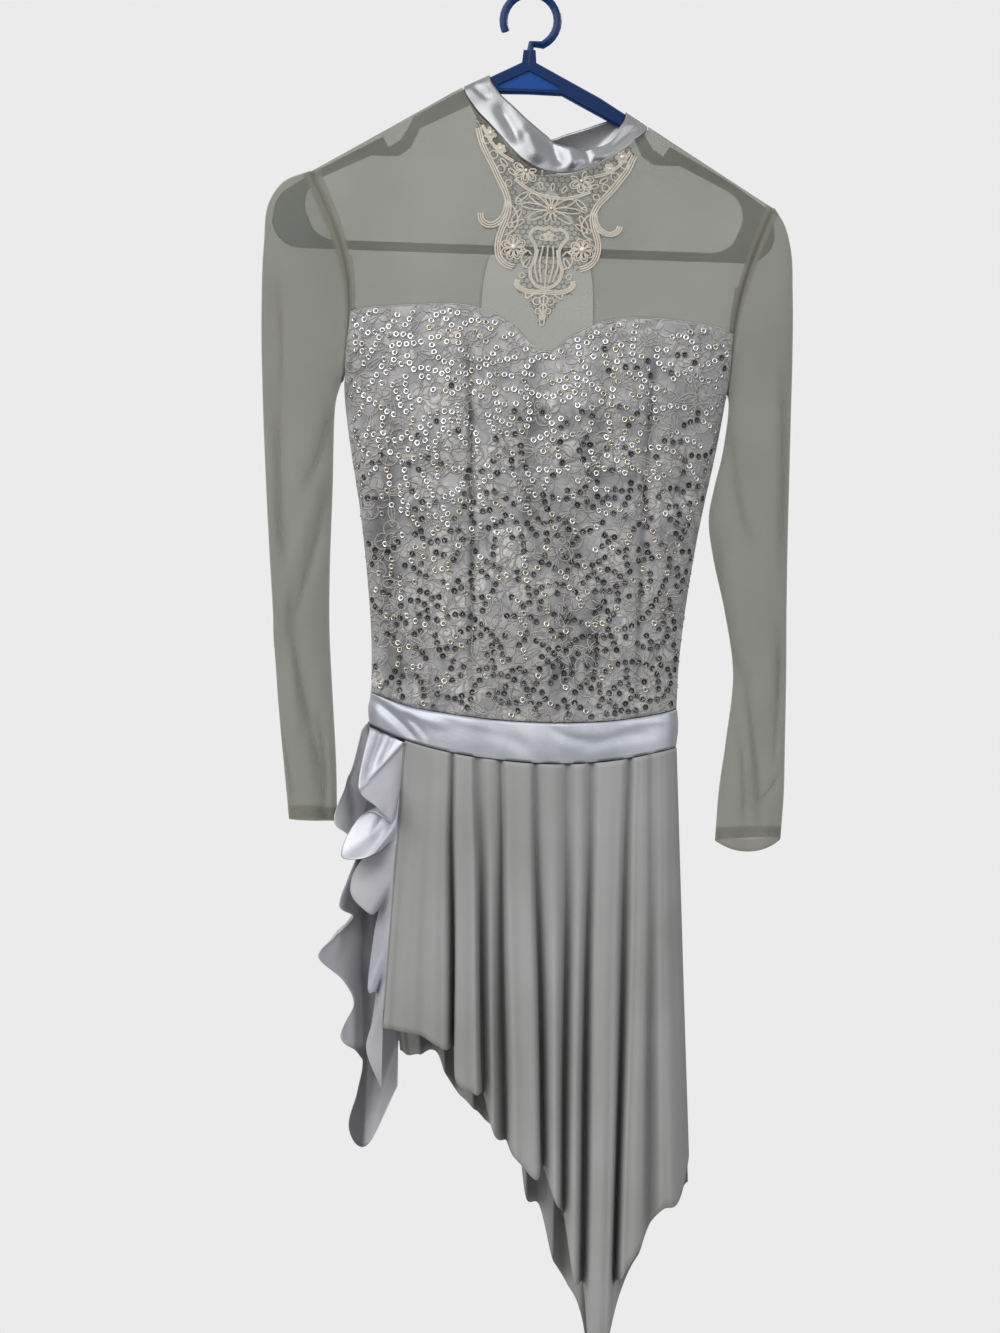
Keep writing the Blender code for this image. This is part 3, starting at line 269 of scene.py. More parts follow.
# Lace necklace: its right half, as distance from its own middle line and height above LACE_Z
LACE_X = 29.0
LACE_Z = -156.0
LACE_REACH = 66.0
LACE_LEAN = -0.15
LACE_DRIFT = 0.045
LACE_HALF = (
    ("across", "up"),
    (66, 30), (62, 20), (55, 8), (46, -6), (38, -18), (35, -27),
    (38, -34), (45, -38), (53, -37), (56.5, -32), (59, -38), (53, -44.5),
    (44, -45.5), (40, -49), (42, -57), (40, -66), (34, -73), (26, -76),
    (19.5, -71), (17, -77), (20, -86), (24, -94), (16, -97), (10, -98),
    (11, -105), (6.5, -112), (3, -121), (0, -123),
)
LACE_GAPS = (
    ("across", "up", "radius", "lobes"),
    (43, 12, 4.4, 3), (26, -10, 4.4, 3), (15, -32, 4, 3), (31, -58, 3.8, 4), (9, -57, 3.4, 3),
    (0, -12, 4, 4), (0, -82, 3.6, 4),
)
# Lace necklace, its right half: bands of cords, with how many cords, how far apart, and their route
LACE_BANDS = (
    (3, 1.9, (
        (64.5, 33), (60, 20), (52.5, 7), (44.5, -6), (37.5, -17), (34.5, -27),
        (36, -37), (39.5, -47), (41, -57), (39, -66), (33.5, -72), (27, -74.5),
    )),
    (3, 1.8, ((35.5, -22), (37.5, -33), (43, -40), (50.5, -41.8), (56, -38), (57.2, -33.5))),
    (2, 1.5, ((61, 36), (53, 23), (43, 13.5), (33, 9))),
    (2, 1.5, ((31, -5), (21, -11), (10, -14.5), (0, -15.5))),
    (1, 1.5, ((34, -24), (29, -29), (26, -37), (29, -45), (36, -49))),
    (2, 1.4, ((15.5, -51), (14.5, -45), (9, -41.5), (4.5, -42.5), (0, -39.5))),
    (2, 1.4, ((14.5, -50), (10, -57), (10, -67), (13, -76), (11, -84.5), (5, -90), (0, -91.5))),
    (1, 1.4, ((4, -56), (5.6, -70), (3, -87))),
    (1, 1.4, ((7.5, -59), (9.3, -73), (6, -86))),
    (1, 1.4, ((12, -64), (16.5, -60), (20.5, -65), (18.5, -73), (13.5, -75))),
    (3, 1.4, ((0, -94), (10, -94.5), (18, -92.5), (23, -88), (22.5, -84.5))),
    (1, 1.4, ((8, -96), (14.5, -99.5), (15, -95.5))),
    (1, 1.4, ((0, -91), (0, -118))),
    (1, 1.4, ((0, -56), (0, -91))),
)
# Rings: across, up and radius
LACE_RINGS = (
    (57, 24, 3.4), (50, 12, 3.4), (43, 1, 3.1), (36, -9, 2.6), (0, -24.5, 2.4), (0, -101, 3.6),
    (5.6, -102, 3.0), (0, -108, 3.2), (4, -110, 2.3), (0, -114.5, 2.4), (19, -81, 2.2),
    (27, -22, 2.4), (5, -49, 2.2), (32, -41, 2.0),
)
# Petals: across, up, turn in degrees, length and width
LACE_PETALS = (
    (2.5, -23.5, 28, 18, 6), (3, -25, 2, 21, 5.5), (2.5, -27, -28, 17, 6), (1, -22, 66, 9, 4),
    (1, -28, -72, 8, 4), (24, -28, -58, 13, 5), (21, -36, -30, 12, 4.6), (19.5, -14, -40, 12, 4.6),
    (8, -10, 62, 6.5, 3.4), (0, -9.5, 90, 6, 3.2), (14, -66, -60, 9, 4), (0, -113, -90, 9, 4.2),
    (22, -60, 190, 5, 2.6), (38, 4, 42, 8, 3.8), (30, -2, 30, 8, 3.6),
)
# Flowers: across, up, radius and how many petals. Pearls: across, up and radius
LACE_FLOWERS = (
    (22.5, 3.5, 10.5, 7), (28, -58, 10, 8), (54, 30, 5.2, 6), (45, 18, 4.6, 6), (0, -48, 4.4, 5),
)
LACE_PEARLS = ((22.5, 3.5, 1.3), (28, -58, 2.0), (54, 30, 1.5), (45, 18, 1.1), (0, -24.5, 1.2))
LACE_NET_PITCH = 2.7
# Radii of the lace's cords, and how far their middles stand out from the yoke
LACE_BAND_CORD = 0.66
LACE_BAND_TWIST = 0.1
LACE_LOOP_CORD = 0.62
LACE_THREAD = 0.3
LACE_BAND_OUT = 1.0
LACE_LOOP_OUT = 1.1
LACE_THREAD_OUT = 0.6

# Radii of the rolled seams and of the bodice's upper binding
ARMHOLE_CORD = 0.6
SIDE_SEAM_CORD = 0.75
BINDING_CORD = 0.5

# Creases: soft troughs (deep below zero) and ridges along a line that may bow sideways
CREASE_COLUMNS = ("x1", "z1", "x2", "z2", "bow", "wide", "deep")
BODICE_CREASES = (
    (-37, -270, -23, -588, 2, 3.4, -3.4), (-52, -330, -44, -560, 4, 9, 2.4),
    (-16, -380, -10, -585, -3, 9, 2), (118, -275, 113, -588, -3, 3.4, -2.8),
    (132, -320, 126, -540, -4, 9, 2.2), (100, -340, 96, -570, 2, 9, 2), (-96, -330, -82, -560, -5, 8, -2.4),
    (-112, -400, -92, -590, 3, 7, -2), (20, -310, 24, -470, -4, 10, -2.6),
    (50, -420, 46, -590, 5, 11, -2.2), (74, -300, 66, -430, 4, 10, -1.8), (80, -470, 74, -590, -3, 8, -2),
    (-6, -420, 6, -560, 6, 12, 2), (-120, -420, -50, -470, 8, 8, -1.2), (150, -380, 104, -440, 6, 8, -1.4),
    (-92, -560, -40, -592, 4, 7, -1.8), (-30, -560, 40, -594, -4, 8, -1.4),
)
BAND_CREASES = (
    (-112, -583, -64, -622, 3, 3.4, -2.4), (-92, -588, -40, -606, -2, 4, 1.6),
    (-20, -604, 30, -628, 4, 6, -1.4), (40, -604, 82, -613, -4, 4, -1.4),
    (66, -622, 128, -606, 3, 4.5, -1.2), (-60, -596, 10, -612, 2, 4, 1.2), (96, -602, 140, -596, 2, 3, 1),
    (-78, -598, -58, -618, 2, 2.4, -1.4),
)
COLLAR_CREASES = (
    (-40, -76, -26, -88, 0, 3, -1.2), (-19, -93, 1, -127, 1, 5, -3.4), (4, -112, 16, -142, 0, 7, 2.6),
    (26, -120, 35, -145, -1, 4.2, -3.4), (40, -126, 46, -147, 0, 4.5, 2.2),
    (52, -127, 58, -141, 1, 3, -2.2), (44, -147, 74, -139, 2, 3.4, -1.6), (72, -129, 97, -105, 0, 2.4, -2),
    (68, -123, 90, -102, 0, 2.6, 1.8),
)
YOKE_CREASES = (
    (-140, -200, -60, -258, 8, 12, 0.9), (-110, -150, -40, -240, -8, 13, -0.9),
    (180, -210, 96, -262, -6, 12, -0.9), (150, -160, 70, -250, 9, 14, 0.9),
)
SLEEVE_CREASES_LEFT = (
    (-149, -408, -175, -525, 4, 5, -4), (-175, -515, -138, -668, -5, 4.5, -4),
    (-191, -341, -182, -480, -2, 4.5, -3), (-196, -240, -190, -350, 2, 4, -1.8),
    (-182, -480, -166, -640, 3, 5, 2.2), (-162, -430, -186, -560, -4, 6, 2.4),
    (-150, -345, -170, -420, 5, 6, -2.4), (-186, -600, -168, -686, 3, 4, -2.4),
    (-150, -600, -142, -684, 2, 4, -1.8),
)
SLEEVE_CREASES_RIGHT = (
    (174, -440, 200, -565, -4, 5, -4), (199, -555, 218, -690, 3, 4.2, -4),
    (232, -636, 215, -660, 2, 3, -2.6), (184, -350, 204, -450, -5, 6, -2.6),
    (222, -300, 226, -470, 3, 6, -2), (214, -470, 222, -590, 3, 6, 2.4), (190, -470, 206, -560, -3, 5, 2.2),
    (228, -520, 226, -640, 2, 4, -2.2), (196, -600, 204, -680, 2, 4, -2),
)

# Corded roses on the bodice
ROSE_PITCH_X = 45.0
ROSE_PITCH_Z = 38.5
ROSE_RADIUS = 21.0
ROSE_JITTER = 5.0
ROSE_FIRST_X = -156.0
ROSE_FIRST_Z = -262.0
ROSE_ROWS = 10
ROSES_IN_ROW = 9
ROSE_CORD = 0.55
ROSE_CORD_OUT = 0.5
LACE_RELIEF = 0.45
# A leaf's length and width, as shares of its rose's radius
LEAF_LONG = 0.8
LEAF_WIDE = 0.4

# Sequins
SEQUIN_RADIUS = 2.5
SEQUIN_HOLE = 0.7
SEQUIN_SIDES = 10
SEQUIN_PITCH = 6.0
SEQUIN_APART = 5.3
SEQUIN_COUNT_FRONT = 1220
SEQUIN_COUNT_BACK = 1100
SEQUIN_TILT = 0.24
SEQUIN_OUT = 0.75
SEQUIN_TRAILS_MOST = 14000
SEQUINS_IN_X = (-145.0, 190.0)
SEQUINS_IN_Z = (-604.0, -260.0)
# Foils: their colours, and the share of warm ones. The dark foil is a painted dark reflection, and there are
# more dark ones towards the waist
PAINTED_DARK_FOIL = (0.07, 0.068, 0.07)
WARM_FOIL = (0.72, 0.67, 0.58)
SILVER_FOIL = (0.86, 0.87, 0.89)
WARM_SHARE = 0.25

# Nets: the pitch of their threads in metres, their turn, and how much more a doubled net covers
NET_PITCH = 0.0012
NET_TURN = 0.6
NET_DOUBLED = 0.28
KNIT_PITCH = 0.0008

# Camera
CAMERA_AT = (-0.0067, -1.7, -0.5558)
CAMERA_ROLL = math.radians(2.0)
CAMERA_LENS = 55.3
FLOOR_Z = -1.85
FLOOR_RADIUS = 1.8
FLOOR_GREY = (0.62, 0.62, 0.615, 1.0)
LAMPS_AIM_AT = (0.0, 0.0, -0.5)
# The sky's light leans to the left by this much
SKY_TILT = -0.15


def column(table, name):
    """One named column of a table as an array."""
    return np.array([row[table[0].index(name)] for row in table[1:]], float)


def through(xs, ys, x):
    """A smooth curve through the points (xs, ys), read at x. It is held level past the ends."""
    xs, ys = np.asarray(xs, float), np.asarray(ys, float)
    if xs[0] > xs[-1]:
        xs, ys = xs[::-1], ys[::-1]
    x = np.clip(np.asarray(x, float), xs[0], xs[-1])
    slopes = np.gradient(ys, xs, axis=0)
    i = np.clip(np.searchsorted(xs, x) - 1, 0, len(xs) - 2)
    step = xs[i + 1] - xs[i]
    t = (x - xs[i]) / step
    if ys.ndim > 1:
        shape = (-1,) + (1,) * (ys.ndim - 1)
        step, t = step.reshape(shape), t.reshape(shape)
    start = (1 + 2 * t) * (1 - t) ** 2 * ys[i] + t * (1 - t) ** 2 * step * slopes[i]
    end = t**2 * (3 - 2 * t) * ys[i + 1] + t**2 * (t - 1) * step * slopes[i + 1]
    return start + end


def from_table(table, name, value, by="z"):
    return through(column(table, by), column(table, name), value)


def section_at(table, name, place):
    """A column read between its rows: place 0 is the first row, 1 the second and so on."""
    ys = column(table, name)
    return through(np.arange(len(ys)), ys, place)


def ease(t):
    """0 to 1 with a soft start and end."""
    t = np.clip(t, 0.0, 1.0)
    return t * t * (3 - 2 * t)


def arm_line(reach):
    """The upper edge of the hanger's arms, by the distance from its middle."""
    return APEX_Z - ARM_SLOPE * reach - ARM_DROOP * np.maximum(reach - ARM_DROOP_FROM, 0.0)


def arm_top(x):
    """The upper edge of the hanger's arms, in the dress's x."""
    return arm_line(np.abs(np.asarray(x) - HANGER_MIDDLE_X))


def shoulder_z(x):
    """The shoulder seams, just over the hanger."""
    return arm_top(x) + CLOTH_OVER_ARM


def armhole_x(z, side):
    """The armhole seam from the shoulder to the underarm. side is -1 on the left, 1 on the right."""
    top_x = SHOULDER_LEFT_X if side < 0 else SHOULDER_RIGHT_X
    bow = ARMHOLE_BOW_LEFT if side < 0 else ARMHOLE_BOW_RIGHT
    t = np.clip((shoulder_z(top_x) - z) / (shoulder_z(top_x) - UNDERARM_Z), 0.0, 1.0)
    low_x = MIDDLE_X + side * UNDERARM_HALF
    return top_x + (low_x - top_x) * t + bow * np.sin(math.pi * t)


def side_x(z, side):
    """The side edge of the front and the back: armhole above, side seam below."""
    seam = MIDDLE_X + side * from_table(SIDE_SEAM, "half", z)
    return np.where(np.asarray(z) > UNDERARM_Z, armhole_x(z, side), seam)


def body_depth(x, z, which):
    """How far the front or the back of the body stands from the hanger's plane at x, z."""
    x, z = np.asarray(x, float), np.asarray(z, float)
    left, right = side_x(z, -1), side_x(z, 1)
    u = np.clip((2 * x - left - right) / (right - left), -1.0, 1.0)
    lens = (1 - np.abs(u) ** BODY_SQUARE) ** 0.5
    middle = from_table(BODY_DEPTH, which, z)
    side = np.where(x < MIDDLE_X, -1, 1)
    top = np.where(side < 0, shoulder_z(SHOULDER_LEFT_X), shoulder_z(SHOULDER_RIGHT_X))
    t = np.clip((top - z) / (top - UNDERARM_Z), 0.0, 1.0)
    edge = ARMHOLE_DEEP * (1 - np.abs(2 * t - 1) ** ARMHOLE_SQUARE) ** (1 / ARMHOLE_SQUARE)
    full = edge * (1 - lens) + np.maximum(middle, edge) * lens
    if which == "front":
        for cup in (-1, 1):
            across = (x - MIDDLE_X - cup * CUP_APART) / CUP_WIDE
            along = (z - CUP_Z) / CUP_HIGH
            full = full + CUP_FORWARD * lens * np.exp(-(across**2) - along**2)
    below = np.maximum(shoulder_z(x) - z, 0.0)
    over_hanger = ARM_CLEARANCE * ease((z - UNDERARM_Z) / LEAVES_HANGER)
    return over_hanger + (full - over_hanger) * (1 - np.exp(-below / LEAVES_HANGER))


def between(start, end, shares):
    """Points from the arrays start to end at each share, as rows."""
    return start[None] + (end - start)[None] * np.asarray(shares)[:, None, None]


def smooth_line(points, count):
    """A smooth curve through a few points, read at count places an equal way apart."""
    points = np.asarray(points, float)
    at = np.concatenate([[0.0], np.cumsum(np.linalg.norm(np.diff(points, axis=0), axis=1))])
    return through(at, points, np.linspace(0.0, at[-1], count))


def finer(points, rows, columns, ring=False):
    """The same surface with that many rows and columns, each an equal way apart."""
    for axis, count in ((0, rows), (1, columns)):
        lines = np.moveaxis(points, axis, 0)
        wrap = 2 if ring and axis == 1 else 0
        if wrap:
            lines = np.concatenate([lines[-3:-1], lines, lines[1:3]])
        steps = np.linalg.norm(np.diff(lines, axis=0), axis=-1).mean(axis=1)
        at = np.concatenate([[0.0], np.cumsum(steps)])
        new = np.linspace(at[wrap], at[len(at) - 1 - wrap], count)
        points = np.moveaxis(through(at, lines, new), 0, axis)
    return points


def normals_of(points, ring=False):
    """The surface's normals at each point of a grid."""
    if ring:
        padded = np.concatenate([points[:, -2:-1], points, points[:, 1:2]], axis=1)
        across = np.gradient(padded, axis=1)[:, 1:-1]
    else:
        across = np.gradient(points, axis=1)
    normals = np.cross(across, np.gradient(points, axis=0))
    return normals / np.maximum(np.linalg.norm(normals, axis=-1), 1e-9)[..., None]


def crease_height(x, z, creases):
    """How far the creases raise the cloth at x, z."""
    height = np.zeros(np.shape(x))
    for row in creases:
        x1, z1, x2, z2, bow, wide, deep = (row[CREASE_COLUMNS.index(name)] for name in CREASE_COLUMNS)
        long = math.hypot(x2 - x1, z2 - z1)
        ux, uz = (x2 - x1) / long, (z2 - z1) / long
        along = (x - x1) * ux + (z - z1) * uz
        t = along / long
        off = (z - z1) * ux - (x - x1) * uz - bow * 4 * t * (1 - t)
        inside = ease((t + 0.12) / 0.4) * ease((1.12 - t) / 0.4)
        height += deep * inside * np.exp(-((off / wide) ** 2))
    return height


def crease_layers(points, creases):
    """1 along the foot of each crease in net, where it lies doubled, and 0 away from them."""
    layers = np.zeros(points.shape[:2])
    for row in creases:
        if row[-1] < 0:
            narrow = (*row[:5], row[5] * 0.55, 1.0)
            layers = np.maximum(layers, 0.8 * crease_height(points[..., 0], points[..., 2], [narrow]))
    return layers * (points[..., 1] < points[..., 1].mean(axis=1, keepdims=True))


def edge_layers(points, top=0.0, bottom=0.0, sides=0.0):
    """1 within so many millimetres of the edges of net, where a seam or a hem doubles it."""
    down = np.linalg.norm(np.diff(points, axis=0), axis=-1).mean(axis=1)
    down = np.concatenate([[0.0], np.cumsum(down)])
    across = np.linalg.norm(np.diff(points, axis=1), axis=-1)
    across = np.concatenate([np.zeros((len(points), 1)), np.cumsum(across, axis=1)], axis=1)
    layers = np.zeros(points.shape[:2])
    layers[down < top] = 1.0
    layers[down > down[-1] - bottom] = 1.0
    layers[(across < sides) | (across > across[:, -1:] - sides)] = 1.0
    return layers


def creased(points, creases, front=True, ring=False):
    """The grid moved along its normals by the creases, on its front or its back only."""
    normals = normals_of(points, ring)
    sign = -1 if front else 1
    outward = normals * np.sign(sign * normals[..., 1] + 1e-9)[..., None]
    faces = ease((sign * outward[..., 1] - 0.05) * 2.5)
    if ring:
        middle = points[..., 1].mean(axis=1, keepdims=True)
        faces = faces * ease(sign * (points[..., 1] - middle) / 4.0)
    height = crease_height(points[..., 0], points[..., 2], creases) * faces
    return points + outward * height[..., None]


def collar_edge(table, edge, places):
    """Points on a collar's upper (top) or lower (low) edge."""
    return np.stack([section_at(table, f"{edge}_{axis}", places) for axis in "xyz"], axis=-1)


def panel_shares(count):
    """Shares across a panel, a little closer together where it turns at the side seams."""
    return 0.35 * (1 - np.cos(np.linspace(0.0, math.pi, count))) / 2 + 0.65 * np.linspace(0.0, 1.0, count)


def under_collar(table, places):
    """The yoke's edge along the collar's lower edge, one point for each section of the collar."""
    top, low = collar_edge(table, "top", places), collar_edge(table, "low", places)
    down = (low - top) / np.linalg.norm(low - top, axis=1)[:, None]
    return low + down * 2 * SEAM_GAP


def shoulder_columns(side, corner, sign):
    """The upper edge of a yoke over one arm of the hanger, from the armhole to the collar."""
    start = SHOULDER_LEFT_X if side < 0 else SHOULDER_RIGHT_X
    corner_x = corner[0] + side * SEAM_GAP
    x = np.append(np.linspace(start - side * SEAM_GAP, corner_x + side * 4.0, 6), corner_x)
    z = shoulder_z(x)
    y = np.full(len(x), sign * SEAM_GAP)
    y[-1], z[-1] = sign * 3.9, z[-1] - 0.7
    return np.stack([x, y, z], axis=-1)


def yoke_rows(top, low_x, low_z, is_shoulder, which, bend):
    """Rows of a yoke from its upper edge down. bend shapes the columns near the open edges."""
    drops = (0.0, 0.02, 0.07, 0.18, 0.36, 0.56, 0.78, 1.0)
    sign = -1 if which == "front" else 1
    points = np.zeros((len(drops), len(top), 3))
    for row, drop in enumerate(drops):
        x = top[:, 0] + (low_x - top[:, 0]) * drop
        z = top[:, 2] + (low_z - top[:, 2]) * drop
        x = bend(x, z)
        points[row] = np.stack([x, sign * body_depth(x, z, which), z], axis=-1)
    points[0] = top
    points[1, is_shoulder, 1] = sign * np.maximum(4.4, np.abs(top[is_shoulder, 1]) + 1.3)
    points[1, is_shoulder, 2] = top[is_shoulder, 2] - 1.1
    at_neck = ~is_shoulder
    points[1, at_neck, 1] = 0.6 * top[at_neck, 1] + 0.4 * points[1, at_neck, 1]
    return points


def sweetheart_seam(gap):
    """The seam between the front yoke and the bodice, moved up by gap."""
    left, right = armhole_x(SWEETHEART_LEFT_Z, -1) + SEAM_GAP, armhole_x(SWEETHEART_RIGHT_Z, 1) - SEAM_GAP
    x = left + (right - left) * panel_shares(BODICE_COARSE["front"][1])
    return x, from_table(SWEETHEART, "z", x, by="x") + gap


def front_yoke_points():
    """The sheer front between the collar, the shoulders, the armholes and the sweetheart line."""
    neck = under_collar(COLLAR_FRONT, np.arange(len(COLLAR_FRONT) - 1))
    left, right = shoulder_columns(-1, neck[0], -1), shoulder_columns(1, neck[-1], -1)
    top = np.concatenate([left, neck, right[::-1]])
    is_shoulder = np.array([True] * len(left) + [False] * len(neck) + [True] * len(right))
    low_x, low_z = sweetheart_seam(SEAM_GAP)
    shares = np.linspace(0.0, 1.0, len(top))

    def bend(x, z):
        edge_left = armhole_x(z[0], -1) + SEAM_GAP
        edge_right = armhole_x(z[-1], 1) - SEAM_GAP
        x = x + (edge_left - x[0]) * (1 - ease(shares * 4))
        return x + (edge_right - x[-1]) * (1 - ease((1 - shares) * 4))

    return yoke_rows(top, low_x, low_z, is_shoulder, "front", bend)


def keyhole_x(z, side):
    """The edge of the back opening, a drop that starts under the collar."""
    t = np.clip((KEYHOLE_TOP_Z - z) / (KEYHOLE_TOP_Z - BACK_TOP_Z), 0.0, 1.0)
    round_part = np.sin(math.pi * 0.5 * np.clip(t / KEYHOLE_WIDEST, 0.0, 1.0)) ** 0.8
    return MIDDLE_X + side * (KEYHOLE_TOP_HALF + (KEYHOLE_HALF - KEYHOLE_TOP_HALF) * round_part)


def back_top_z(x):
    """The upper edge of the bodice back, level at the sides and scooped in the middle."""
    across = np.clip(1 - (np.asarray(x) - MIDDLE_X) ** 2 / BACK_SCOOP_HALF**2, 0.0, 1.0)
    return BACK_TOP_Z - BACK_SCOOP * across**0.6


def back_yoke_points(side):
    """One half of the sheer back, from the armhole to the edge of the back opening."""
    corner_row = len(COLLAR_BACK) - 2.0 if side < 0 else 0.0
    near_seam = COLLAR_SEAM - side * YOKE_END_SHARE
    neck = under_collar(COLLAR_BACK, np.linspace(corner_row, near_seam, 9))
    shoulder = shoulder_columns(side, neck[0], 1)
    top = np.concatenate([shoulder, neck])
    is_shoulder = np.array([True] * len(shoulder) + [False] * len(neck))
    shares = np.linspace(0.0, 1.0, len(top))
    outer_low, inner_low = armhole_x(BACK_TOP_Z, side), keyhole_x(BACK_TOP_Z, side)
    low_x = outer_low + (inner_low - outer_low) * shares
    low_z = np.full(len(top), BACK_TOP_Z + SEAM_GAP)

    def bend(x, z):
        outer = armhole_x(z[0], side) - side * SEAM_GAP
        inner = keyhole_x(z[-1], side)
        x = x + (outer - x[0]) * (1 - ease(shares * 3))
        return x + (inner - x[-1]) * ease(shares * 3 - 2)

    return yoke_rows(top, low_x, low_z, is_shoulder, "back", bend)


def band_edge(x, edge, which):
    """The waistband's edges. The back's run straight from one side seam to the other."""
    left_z, right_z = column(BAND_EDGES, edge)[[0, -1]]
    left_x, right_x = side_x(BAND_TOP_Z, -1), side_x(BAND_TOP_Z, 1)
    straight = left_z + (right_z - left_z) * (np.asarray(x) - left_x) / (right_x - left_x)
    return from_table(BAND_EDGES, edge, x, by="x") if which == "front" else straight


def bodice_points(which):
    """The sequinned front or back, from its upper edge to the waistband."""
    front = which == "front"
    rows, columns = BODICE_COARSE[which]
    shares = panel_shares(columns)
    drops = np.linspace(0.0, 1.0, rows)
    if front:
        top_x, top_z = sweetheart_seam(-SEAM_GAP)
    else:
        left, right = armhole_x(BACK_TOP_Z, -1) + SEAM_GAP, armhole_x(BACK_TOP_Z, 1) - SEAM_GAP
        top_x = left + (right - left) * shares
        top_z = back_top_z(top_x) - SEAM_GAP
    low_x = side_x(BAND_TOP_Z, -1) + (side_x(BAND_TOP_Z, 1) - side_x(BAND_TOP_Z, -1)) * shares
    low_z = band_edge(low_x, "top", which) + SEAM_GAP
    points = np.zeros((len(drops), len(shares), 3))
    sign = -1 if front else 1
    for row, drop in enumerate(drops):
        z = top_z + (low_z - top_z) * drop
        left = side_x(z, -1) + SEAM_GAP * (z > UNDERARM_Z)
        right = side_x(z, 1) - SEAM_GAP * (z > UNDERARM_Z)
        x = left + (right - left) * shares
        if row == 0:
            x = top_x
        depth = np.maximum(body_depth(x, z, which), SIDE_SEAM_Y)
        points[row] = np.stack([x, sign * depth, z], axis=-1)
    return points


def waistband_points(which):
    sign = -1 if which == "front" else 1
    rows, columns = BAND_COARSE[which]
    shares = panel_shares(columns)
    left, right = side_x(BAND_MIDDLE_Z, -1), side_x(BAND_MIDDLE_Z, 1)
    points = np.zeros((rows, columns, 3))
    for row, drop in enumerate(np.linspace(0.0, 1.0, rows)):
        x = left + (right - left) * shares
        x = MIDDLE_X + (x - MIDDLE_X) * (1 + BAND_BULGE * math.sin(math.pi * drop))
        top, low = band_edge(x, "top", which), band_edge(x, "bottom", which)
        z = top - SEAM_GAP + (low - top + 2 * SEAM_GAP) * drop
        depth = body_depth(x, z, which) + BAND_STANDS_OUT * math.sin(math.pi * drop)
        points[row] = np.stack([x, sign * np.maximum(depth, SIDE_SEAM_Y + 0.3), z], axis=-1)
    return points


def collar_points():
    """The satin neck band: one strip that droops in front and behind and meets at the back."""
    left_corner, right_corner = len(COLLAR_BACK) - 2.0, 0.0
    runs = (
        (COLLAR_BACK, np.linspace(COLLAR_SEAM + COLLAR_END_SHARE, left_corner, 9)),
        (None, COLLAR_FRONT[1]),
        (COLLAR_FRONT, np.arange(len(COLLAR_FRONT) - 1)),
        (None, COLLAR_FRONT[-1]),
        (COLLAR_BACK, np.linspace(right_corner, COLLAR_SEAM - COLLAR_END_SHARE, 9)),
    )
    sections = []
    for table, places in runs:
        if table is None:
            over = COLLAR_OVER_ARM[:0:-1] if places[0] < 0 else COLLAR_OVER_ARM[1:]
            top, low = (
                np.array([[x, y, arm_top(x) + lift] for y, lift in over]) for x in (places[0], places[3])
            )
        else:
            top, low = collar_edge(table, "top", places), collar_edge(table, "low", places)
        sections.append(between(top, low, COLLAR_DROPS))
    strip = np.concatenate(sections, axis=1)
    strip[1:3, :, 1] *= COLLAR_SWELL
    return strip


def sleeve_points(side):
    """A tube from the armhole to the cuff, with one deep fold down its front."""
    left = side < 0
    table = SLEEVE_LEFT if left else SLEEVE_RIGHT
    folds = SLEEVE_FOLD_LEFT if left else SLEEVE_FOLD_RIGHT
    bow = ARMHOLE_BOW_LEFT if left else ARMHOLE_BOW_RIGHT
    dip = CUFF_DIP_LEFT if left else CUFF_DIP_RIGHT
    rings = len(table) - 1
    angles = np.linspace(0.0, 2 * math.pi, 49)
    points = np.zeros((rings, len(angles), 3))
    for ring in range(rings):
        out_x, out_z, in_x, in_z, deep = (column(table, name)[ring] for name in table[0])
        if ring == 0:
            out_z, in_z = float(shoulder_z(out_x)), UNDERARM_Z
        share = (1 - np.cos(angles)) / 2
        bend = bow * max(0.0, 1 - ring / SLEEVE_JOIN_RINGS) * np.sin(math.pi * share)
        x = out_x + (in_x - out_x) * share + bend
        z = out_z + (in_z - out_z) * share
        oval = deep * np.sign(np.sin(angles)) * np.abs(np.sin(angles)) ** SLEEVE_SQUARE
        fold_share = through(column(folds, "ring"), column(folds, "share"), ring)
        fold_deep = through(column(folds, "ring"), column(folds, "deep"), ring)
        fold_angle = math.acos(1 - 2 * fold_share)
        groove = fold_deep * np.exp(-(((angles - fold_angle) / FOLD_HALF_ANGLE) ** 2))
        y = -oval + groove
        if ring < SLEEVE_JOIN_RINGS:
            at_front = np.sin(angles) >= 0
            at_x, at_z = armhole_x(z, side), z
            seam_y = np.where(at_front, -body_depth(at_x, at_z, "front"), body_depth(at_x, at_z, "back"))
            seam_y = seam_y * (np.abs(np.sin(angles)) > 1e-6)
            keep = 1 - ease(ring / SLEEVE_JOIN_RINGS)
            y = seam_y * keep + y * (1 - keep)
        hem = dip * (ring / (rings - 1)) ** 6 * np.maximum(np.sin(angles), 0.0) ** 2
        points[ring] = np.stack([x, y, z - hem], axis=-1)
    points[0, :, 0] += side * SEAM_GAP
    points[:, -1] = points[:, 0]
    return points


